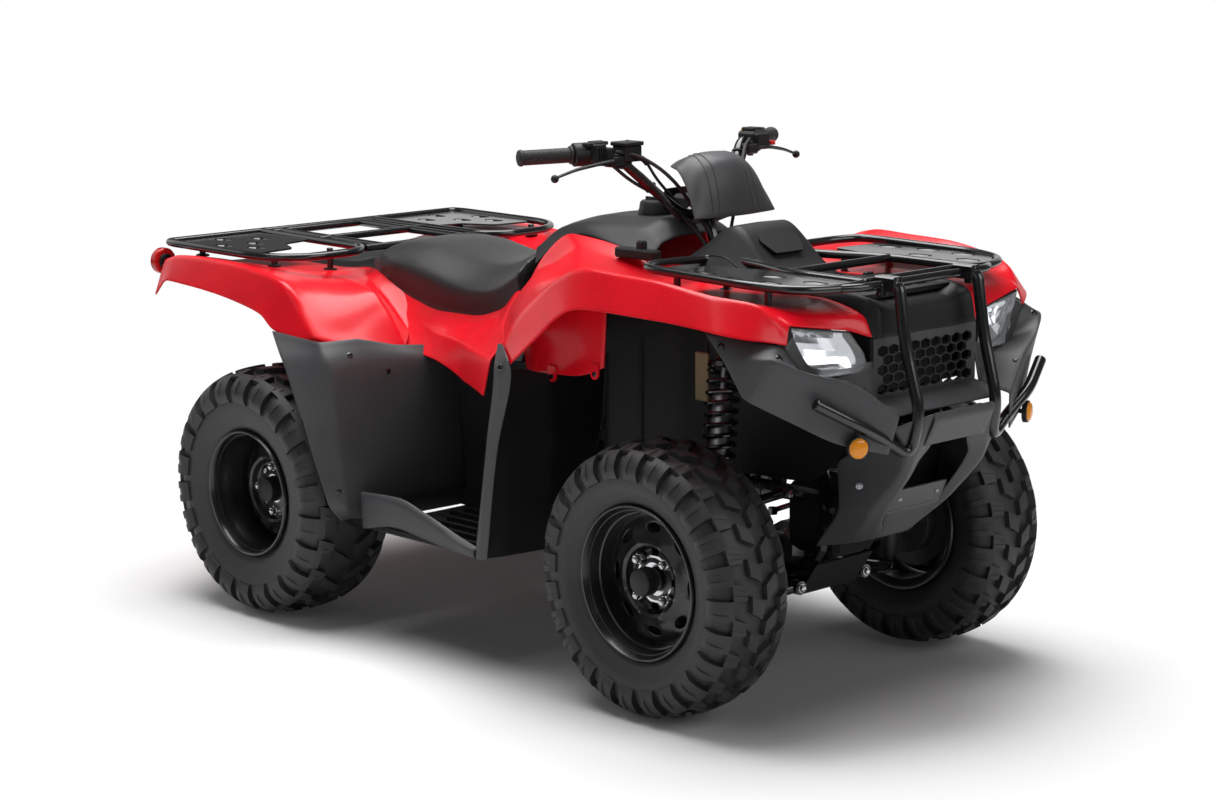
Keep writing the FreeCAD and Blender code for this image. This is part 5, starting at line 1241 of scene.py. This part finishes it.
loomPath = np.array([(276, -216, 1146), (300, -176, 1122), (322, -140, 1084), (340, -116, 1050),
    (360, -92, 1006)])
looms = [loomShell(loomPath * [1, side, 1], 6.0, 5.0) for side in (1, -1)]
makePiece("barLooms", looms, "rubberBlack", body="steering")
straps = []
for share in (0.25, 0.75):  # ties round bar and loom
    a, b = np.array((262, -205, 1157.0)), np.array((330, -110, 1050.0))
    band = [(-2.5, 12.4), (-2.5, 14.4), (2.5, 14.4), (2.5, 12.4)]
    straps.append(turnedShell(band, 24, a + (b - a) * share, unit(b - a)))
makePiece("loomTies", bothSides(straps), "blackPlastic", body="steering")
bridge = [softBox((336, y - 11, 1004), (376, y + 11, 1028), 4.0) for y in (-35, 35)]
makePiece("barClamps", bridge, "castAluminium", body="steering")
screen = [wholeRow(row) for row in ([(270, -44, 1062), (274, 0, 1064)], [(266, -46, 1030), (270, 0, 1030)],
    [(268, -40, 1008), (272, 0, 1006)])]
keyBlock = softBox((272, -30, 1010), (336, 30, 1052), 8.0)
makePiece("keyHousing", [sheet(screen, 0.02), keyBlock], "blackPlastic", body="steering")
print("bar ready")


# Front suspension and steering knuckles

shock = dict(top=(613.5, -205.0, 765.0), low=(633.5, -258.0, 449.3), coil=33.0, wire=5.2, turns=8.5)


def helix(start, end, radius, turns, steps):  # a circle whose centre moves along a line
    start, end = np.array(start, float), np.array(end, float)
    way = unit(end - start)
    side = unit(np.cross(way, (1.0, 0, 0)))
    other = np.cross(way, side)
    t = np.linspace(0, 1, steps)[:, None]
    turn = t * turns * 2 * np.pi
    return start + (end - start) * t + radius * (np.cos(turn) * side + np.sin(turn) * other)


def shockShells():  # spring apart from the damper, which is bright below
    top, low = np.array(shock["top"]), np.array(shock["low"])
    way = unit(low - top)
    length = np.linalg.norm(low - top)
    spring = sweep(helix(top + way * 52, top + way * (length - 66), shock["coil"], shock["turns"], 300),
        shock["wire"], 10)
    seats = solid([(16, 16), (30, 20), (34, 37), (44, 38), (47, 36)], 40)
    cup = lathe([(length - 64, 0.01), (length - 64, 24), (length - 62, 38), (length - 55, 38),
        (length - 53, 34), (length - 46, 22), (length - 20, 20), (length - 14, 14), (length - 12, 0.01)], 40,
        axis="Z")
    body = solid([(100, 21), (104, 23), (length - 66, 23)], 40)
    rod = solid([(40, 8), (104, 8)], 24)
    eyes = [lathe([(-16, 7), (-16, 15), (-14, 16), (14, 16), (16, 15), (16, 7)], 32, centre, "X")
        for centre in (top, low)]
    bolts = [solid([(-26, 7), (26, 7)], 6, centre, axis="X") for centre in (top, low)]
    black = [spring, aimed(seats, top, way), aimed(cup, top, way)] + eyes
    return black, [aimed(body, top, way), aimed(rod, top, way)] + bolts


blackShells, brightShells = shockShells()
makePiece("shockSprings", bothSides(blackShells), "blackSteel", ["front_shocks"])
makePiece("shockDampers", bothSides(brightShells), "dullSteel")

arms = {
    "upperArms": dict(node="upper_arms", pivot=(60.0, -104.5, 440.0), ball=408.0, tube=11.0, sleeve=14.0),
    "lowerArms": dict(node="lower_arms", pivot=(95.0, -106.3, 236.0), ball=196.0, tube=12.5, sleeve=16.0),
}
axleX, kingY = 633.5, -318.0
for name, arm in arms.items():
    spread, y, z = arm["pivot"]
    shells, bolts = [], []
    for side in (-1, 1):
        x = axleX + side * spread
        middle = (axleX + side * spread * 0.62, (y + kingY) / 2, (z + arm["ball"]) / 2)
        shells.append(tubeShell([(x, y, z), middle, (axleX, kingY + 6, arm["ball"])], arm["tube"], 60.0))
        shells.append(solid([(-17, arm["sleeve"] - 1), (-16, arm["sleeve"]), (16, arm["sleeve"]),
            (17, arm["sleeve"] - 1)], 32, (x, y, z), axis="X"))
        bolts += boltShell((x + 18, y, z), (1, 0, 0), 8.0, 7.0)
    low, high = arm["ball"] - 9, arm["ball"] + 9
    shells.append(lathe([(low, 8), (low, 15), (low + 2, 17), (high - 2, 17), (high, 15), (high, 8)], 32,
        (axleX, kingY, 0), "Z"))
    if name == "upperArms":
        shells.append(softBox((609.5, -274, 419), (657.5, -242, 434), 3.0))
        shells += [softBox((x, -276, 424), (x + 6, -240, 466), 2.0) for x in (609.5, 651.5)]
    makePiece(name, bothSides(shells), "blackSteel", [arm["node"]])
    makePiece(name + "Bolts", bothSides(bolts), "brightSteel")

plateRows = [  # the pressed plate that shields each lower arm
    [(560, -120, 216), (570, -200, 204), (600, -300, 186)],
    [(640, -118, 214), (644, -200, 202), (640, -302, 182)],
    [(712, -120, 222), (704, -200, 208), (680, -296, 188)],
]
armPlate = sheet(plateRows, 0.01, 3.0)
makePiece("armPlates", bothSides([armPlate]), "greyPlastic")


def knuckleShells():  # upright with ball pins, drum and steering arm
    axle = (axleX, kingY, 297.5)
    upright = solid([(213, 14), (222, 19), (260, 24), (340, 24), (378, 18), (391, 14)], 28, (axleX, kingY, 0))
    hub = lathe([(kingY - 44, 0.01), (kingY - 44, 40), (kingY - 20, 42), (kingY + 10, 34),
        (kingY + 14, 0.01)], 40,
        (axleX, 0, 297.5), "Y")
    drum = lathe([(kingY - 76, 15), (kingY - 76, 80), (kingY - 74, 82), (kingY - 46, 82), (kingY - 40, 78),
        (kingY - 40, 15)], 64, (axleX, 0, 297.5), "Y")
    stub = solid([(-444, 12), (-442, 14), (kingY, 14)], 24, (axleX, 0, 297.5), axis="Y")
    pins = [solid([(low, 7), (low + 26, 7)], 20, (axleX, kingY, 0)) for low in (189, 389)]
    arm = tubeShell([(axleX, kingY, 352), (593.5, -308, 352), (547.5, -278, 352)], 10.0, 20.0)
    link = solid([(350, 4.5), (384, 4.5)], 16, (547.5, -278, 0))
    return [upright, hub, drum, stub, arm, link] + pins


for side in ("right", "left"):
    shells = knuckleShells() if side == "right" else [mirrored(shell) for shell in knuckleShells()]
    makePiece("knuckle" + side.title(), shells, "darkCast", ["knuckle_" + side], "knuckle_" + side + "_body")


def bootShells(points, sizes, folds):  # a rubber bellows: rings whose radius rises and falls
    path = roundedPath(points, 10.0, 2.0)
    share = np.linspace(0, 1, len(path))
    size = sizes[0] + (sizes[1] - sizes[0]) * share
    return sweep(path, size * (1.0 + 0.13 * np.cos(share * folds * 2 * np.pi)), 28)


boots = [bootShells([(axleX, -76, 289), (axleX, -132, 291)], (34, 24), 5)]
shaft = tubeShell([(axleX, -70, 289), (axleX, -262, 295.5)], 12.0)
outerBoot = bootShells([(axleX, -202, 293), (axleX, -262, 295)], (22, 34), 5)
makePiece("shaftBoots", bothSides(boots + [shaft, outerBoot]), "rubberBlack", ["drive_shafts"])
print("legs ready")


# Footwells, liners and small trim

def onPanel(name, along, across):  # a point of a panel's outer face and the way it looks
    grid, wall = panelFace(name)
    i, j = int(round(along * (grid.shape[0] - 1))), int(round(across * (grid.shape[1] - 1)))
    return grid[i, j] / mm, gridNormals(grid)[i, j] * np.sign(wall)


def ridgeShell(name, along, across, radius=1.6):  # a fine raised line laid along one column of a panel
    grid, _ = panelFace(name)
    rows, columns = grid.shape[:2]
    first, last = (int(round(share * (rows - 1))) for share in along)
    return sweep(grid[first:last + 1, int(across * (columns - 1))] / mm, radius, 8)


def serratedRow(y, x0, x1, z, pitch=13.0, wide=9.0, high=9.0):  # a strip of upright teeth for the boot
    teeth = []
    for k in range(int((x1 - x0) / pitch)):
        x = x0 + k * pitch
        outline = [(x, z - 1), (x + 10, z - 1), (x + 9, z + high), (x + 6.8, z + high * 0.55),
            (x + 5, z + high), (x + 3.2, z + high * 0.55), (x + 1, z + high)]
        teeth.append(cutPlate(outline, [], y - wide / 2, y + wide / 2, facingSide))
    return teeth


floorPlate = softBox((-283, -488, 262), (118, -168, 268), 1.5)
shells = [floorPlate]
for y in (-228, -272, -316, -360, -404, -446):
    shells += serratedRow(y, -190.0 if y < -300 else -230.0, 92.0, 268.0)
shells += [softBox((-250, y - 3, 267), (100, y + 3, 272), 1.5)
    for y in (-206, -250, -294, -338, -382, -425, -466)]
wallRows = [[(-334, -176, 268), (-336, -176, 420), (-340, -180, 560), (-352, -190, 648)],
            [(-180, -172, 268), (-180, -168, 420), (-180, -172, 560), (-180, -196, 640)],
            [(0, -172, 268), (20, -166, 420), (40, -172, 560), (30, -200, 660)],
            [(118, -172, 268), (160, -172, 420), (205, -174, 560), (214, -176, 690)]]
shells.append(sheet(wallRows, 0.012, -skinWall))
makePiece("footboards", bothSides(shells), "blackPlastic", ["footwells"])
edgeRows = [[(-290, -489, 346), (-286, -494, 340), (-284, -494, 300), (-283, -492, 264)],
            [(-158, -489, 352), (-156, -496, 344), (-156, -497, 308), (-158, -492, 286)],
            [(-60, -489, 331), (-58, -497, 322), (-58, -498, 294), (-60, -492, 276)],
            [(60, -489, 296), (60, -498, 290), (60, -498, 272), (60, -492, 264)],
            [(116, -489, 282), (116, -497, 277), (116, -497, 267), (116, -492, 262)]]
edgeSheet = sheet(edgeRows, 0.006)
makePiece("footboardEdges", bothSides([edgeSheet]), "greyPlastic")

archRows = [[(213, -180, 300), (214, -178, 520), (216, -178, 700), (216, -178, 846)],
            [(300, -150, 330), (300, -146, 520), (300, -146, 700), (300, -150, 846)],
            [(420, -124, 440), (420, -122, 560), (420, -122, 700), (420, -122, 840)],
            [(560, -122, 470), (560, -120, 560), (560, -120, 650), (560, -120, 752)],
            [(760, -122, 480), (760, -120, 580), (760, -120, 660), (760, -120, 752)],
            [(930, -126, 590), (934, -122, 640), (936, -122, 690), (936, -122, 752)]]
archSheet = sheet(archRows, 0.01, -skinWall)
ribs = [tubeShell([(x, -150 if x < 350 else -126, 470), (x, -150 if x < 350 else -126, 740)], 4.0)
    for x in (300, 480, 540)]
makePiece("archLiners", bothSides([archSheet] + ribs), "blackPlastic")
# A block standing for the front gear case between the front wheels; its near-black colour is painted shade.
makePiece("gearCore", [softBox((652, -56, 300), (800, 56, 452), 12.0)], "deepBlack")
tabs = []
for x, y, z in ((222, -352, 672), (360, -353, 694)):  # two lugs under the arch wall, each with its bolt
    lug = [(x - 15, z + 20), (x + 15, z + 20), (x + 13, z - 10), (x, z - 18), (x - 13, z - 10)]
    tabs.append(cutPlate(roundedCorners(lug, 8.0, 5), [], y - 2.0, y + 2.0, facingSide))
makePiece("archTabs", bothSides(tabs), "redPlastic")
tabBolts = rivetShell((222, -354, 668), (0, -1, 0), 6.0) + rivetShell((360, -355, 690), (0, -1, 0), 6.0)
makePiece("archBolts", bothSides(tabBolts), "blackSteel")
makePiece("tanBlades", bothSides([softBox((524, -210, 636), (564, -202, 742), 2.0)]), "tanPlastic")

# The centre guard: two bent legs, the beam over them and the plates between them
guard = {
    "leg": [[(1004, -170, 640), (1058, -176, 640), (1101, -94, 665), (1090, -80, 650)],
        [(985, -165, 596), (1064, -150, 596), (1074, -110, 596), (1063, -60, 596)],
        [(885, -150, 535), (1052, -136, 551), (1060, -120, 549), (1043, -85, 548)],
        [(890, -150, 452), (972, -136, 452), (985, -105, 452), (966, -84, 440)],
        [(812, -132, 345), (880, -90, 357), (905, -60, 364), (912, -41, 366)]],
    "beam": [(1100, -95, 666), (1102, -95, 650), (1075, -95, 597)],
    "cross": [(992, -78, 484), (980, -82, 462), (964, -86, 436)],
    "chin": [(964, -86, 434), (936, -62, 400), (912, -42, 366)],
}
legSheet = sheet(guard["leg"], 0.014, 5.0)
shells = bothSides([legSheet])
for name in ("beam", "cross", "chin"):
    rows = [[(x, side * y, z) for x, y, z in guard[name]] for side in (1, -1)]
    shells.append(sheet(rows, 0.008, -5.0))
makePiece("centreGuard", shells, "greyPlastic", ["centre_guard"])
shroud = sheet([wholeRow([(x, -half, z), (x + 2, 0, z)])
    for x, half, z in ((940, 120, 560), (930, 120, 470), (890, 100, 400))], 0.01)
makePiece("guardBacking", [shroud], "blackPlastic")

bolts = []
for name, along, across, radius in (("wingGuards", 0.03, 0.82, 5.5), ("wingGuards", 0.275, 0.74, 5.5),
                                    ("wingGuards", 0.80, 0.68, 4.0), ("mudguards", 0.90, 0.34, 5.0),
                                    ("mudguards", 0.78, 0.55, 5.0), ("mudguards", 0.20, 0.12, 4.5)):
    place, normal = onPanel(name, along, across)
    bolts += rivetShell(place, normal, radius * 1.5, 2.2)
bolts += rivetShell((216, -500, 706), (0.2, -1, 0.2), 8.0, 2.6)
makePiece("panelScrews", bothSides(bolts), "blackSteel")
bright = boltShell((944, -149, 500), (0.7, -0.7, 0), 5.5, 4.0)
bright += rivetShell((980, -60, 462), (0.88, 0, -0.45), 6.0, 3.0)
makePiece("guardBolts", bothSides(bright), "dullSteel")

ridges = bothSides([ridgeShell("handlebarCover", (0.12, 0.97), share) for share in (0.24, 0.30)])
makePiece("coverLines", ridges, "greyPlastic", body="steering")
lines = bothSides([ridgeShell("noseConsole", (0.10, 0.62), 0.20)])
makePiece("consoleLines", lines, "blackPlastic")

lid = [(742, -146), (742, 146), (946, 142), (946, -142)]
lidHole = roundedCorners([(776, -104), (776, 104), (918, 100), (918, -100)], 12, 5)
plate = cutPlate(roundedCorners(lid, 14, 5), [lidHole], 890.0, 900.0)
inset = softBox((770, -110, 889), (924, 110, 893), 1.5)
step = softBox((800, -70, 892), (896, 70, 897), 2.0)
hinges = bothSides([softBox((734, -120, 892), (748, -96, 905), 2.0)])
makePiece("hoodLid", [plate, inset, step] + hinges, "blackPlastic")

plaque = roundedCorners([(-62, 966), (-50, 978), (50, 978), (62, 966), (44, 940), (-44, 940)], 4.0, 4)


def onSlope(points, height):  # the console's sloping front, height measured off it
    t = (points[..., 1] - 1004.0) / (928.0 - 1004.0)
    x = 521.0 + (618.0 - 521.0) * t
    return (x + height * 0.62, points[..., 0], points[..., 1] + height * 0.78)


makePiece("blankPlaque", [cutPlate(plaque, [], 6.0, 11.0, onSlope)], "blackPlastic")

capAt = (196.0, 0.0, 1002.0)
cap = lathe([(-6, 0.01), (-6, 42), (4, 42), (8, 40), (22, 38), (27, 34), (28, 0.01)], 64, capAt, "Z")
bar = softBox((capAt[0] - 34, -4, 1028), (capAt[0] + 34, 4, 1036), 2.0)
makePiece("tankCap", [cap, bar], "blackPlastic")
tray = [softBox((268, -206, 925), (392, -176, 948), 4.0), softBox((330, -200, 930), (352, -180, 966), 4.0)]
makePiece("sideTray", tray, "blackPlastic")

lens = [(0, 0.01), (0, 21), (8, 21), (12, 18), (14, 12), (14.5, 0.01)]
ring = [(-3, 0.01), (-3, 24), (7, 24), (8, 22.5), (8, 21), (1, 21), (1, 0.01)]
start, way = (1046.0, -275.0, 614.0), unit(np.array([1.0, -0.45, 0.0]))
lensShell, ringShell = (turnedShell(outline, 48, start, way) for outline in (lens, ring))
post = tubeShell([(1044, -274, 614), (1018, -262, 614)], 5.0)
strap = softBox((1028, -272, 630), (1040, -262, 664), 1.5)
makePiece("reflectorLenses", bothSides([lensShell]), "lensAmber", ["reflectors"])
makePiece("reflectorRings", bothSides([ringShell, post, strap]), "blackPlastic")
tail = [(-8, 0.01), (-8, 30), (-5, 33), (10, 33), (15, 29), (18, 20), (19, 0.01)]
tailRing = [(-16, 0.01), (-16, 18), (-6, 20), (-6, 0.01)]
tailStart = (-1074.0, -487.0, 820.0)
makePiece("tailLenses", bothSides([turnedShell(tail, 48, tailStart, (-1, 0, 0))]), "lensRed", ["tail_lamps"])
bracket = softBox((-1080, -495, 806), (-1024, -479, 814), 2.0)
makePiece("tailRings", bothSides([turnedShell(tailRing, 48, tailStart, (-1, 0, 0)), bracket]), "blackPlastic")
print("trim ready")


# Camera, light and floor

camera = dict(place=(4.498, -4.2603, 1.7016), yaw=2.3799, pitch=0.1856, roll=-0.0069,
    focal=2657.9, width=1216)  # metres, radians and pixels


def addCamera(place, yaw, pitch, roll, focal, width):  # the photo camera, solved from the photo
    ahead = Vector((math.cos(yaw) * math.cos(pitch), math.sin(yaw) * math.cos(pitch), -math.sin(pitch)))
    right = Vector((math.sin(yaw), -math.cos(yaw), 0.0))
    up = right.cross(ahead)
    turnedRight = right * math.cos(roll) + up * math.sin(roll)
    turnedUp = up * math.cos(roll) - right * math.sin(roll)
    data = bpy.data.cameras.new("photoCamera")
    data.sensor_width = 36.0
    data.lens = focal * data.sensor_width / width
    made = bpy.data.objects.new("photoCamera", data)
    rows = [(turnedRight[i], turnedUp[i], -ahead[i], place[i]) for i in range(3)] + [(0, 0, 0, 1)]
    made.matrix_world = Matrix(rows)
    bpy.context.scene.collection.objects.link(made)
    bpy.context.scene.camera = made


addCamera(**camera)

lights = {  # place, aim, size in metres, power in watts
    "overhead": dict(place=(-0.5, 0.1, 4.2), aim=(0.0, 0.0, 0.4), size=(4.4, 2.8), power=270.0),
    "rightSide": dict(place=(0.8, -4.6, 2.4), aim=(0.0, 0.0, 0.6), size=(4.0, 2.2), power=16.0),
    "front": dict(place=(4.4, 0.7, 2.9), aim=(0.4, 0.0, 0.6), size=(3.4, 2.4), power=74.0),
    "rearRim": dict(place=(-4.2, -1.0, 2.0), aim=(0.0, 0.0, 0.6), size=(3.0, 2.4), power=24.0),
    "backdrop": dict(place=(-2.6, 4.8, 1.9), aim=(0.0, 0.0, 0.8), size=(6.0, 2.4), power=28.0),
}
for name, light in lights.items():
    data = bpy.data.lights.new(name, "AREA")
    data.shape = "RECTANGLE"
    data.size, data.size_y = light["size"]
    data.energy = light["power"]
    lamp = bpy.data.objects.new(name, data)
    lamp.location = light["place"]
    lamp.rotation_euler = (Vector(light["aim"]) - Vector(light["place"])).to_track_quat("-Z", "Y").to_euler()
    bpy.context.scene.collection.objects.link(lamp)

world = bpy.data.worlds.new("studio")
bpy.context.scene.world = world
sky = Shade(world)


def seenDirectly(shade):  # 1 for the rays that see the white backdrop itself
    camera, through = (shade.node("ShaderNodeLightPath", output=name)
        for name in ("Is Camera Ray", "Is Transmission Ray"))
    return camera.over(through)


ambient = 0.10
sky.finish(sky.node("ShaderNodeBackground", None, {"Color": (1, 1, 1, 1),
    "Strength": ambient + seenDirectly(sky) * (1.0 - ambient)}), "ShaderNodeOutputWorld")

floorShade = Shade(bpy.data.materials.new("paleFloor"))
# Painted shadow: the floor's colour darkens within and around the bike's footprint, standing in for the shade
# under it.
parts = [floorShade.node("ShaderNodeSeparateXYZ", None, {0: floorShade.place()}, k) for k in (0, 1)]
beyond = [(part.over(part * -1.0) - reach).over(0.0) for part, reach in zip(parts, (0.78, 0.30))]
squares = beyond[0] * beyond[0] + beyond[1] * beyond[1]
away = floorShade.node("ShaderNodeMath", {"operation": "SQRT"}, {0: squares})
paintedShadowTone = floorShade.mapped(away, 0.0, 0.40, 0.24, 0.92)  # painted contact shadow: the floor's own colour is darker close to the wheels and under the bike
grey = floorShade.node("ShaderNodeCombineColor", None, {0: paintedShadowTone, 1: paintedShadowTone, 2: paintedShadowTone})
diffuse = floorShade.node("ShaderNodeBsdfDiffuse", None, {"Color": grey})
glow = floorShade.node("ShaderNodeEmission", None, {"Color": (1, 1, 1, 1), "Strength": 1.0})
spot = floorShade.node("ShaderNodeVectorMath", {"operation": "LENGTH"}, {0: floorShade.place()}, "Value")
share = 0.02 + seenDirectly(floorShade) * floorShade.mapped(spot, 1.05, 2.2, 0.0, 0.98)
floorFinish = floorShade.finish(floorShade.node("ShaderNodeMixShader", None, {0: share, 1: diffuse, 2: glow}))

floorHalf = 15.0
floorMesh = bpy.data.meshes.new("floor")
corners = [(x * floorHalf, y * floorHalf, 0) for x, y in ((-1, -1), (1, -1), (1, 1), (-1, 1))]
floorMesh.from_pydata(corners, [], [(0, 1, 2, 3)])
floorMesh.materials.append(floorFinish)
floor = bpy.data.objects.new("floor", floorMesh)
bpy.context.scene.collection.objects.link(floor)

bpy.context.scene.view_settings.view_transform = "Standard"

print("scene ready")
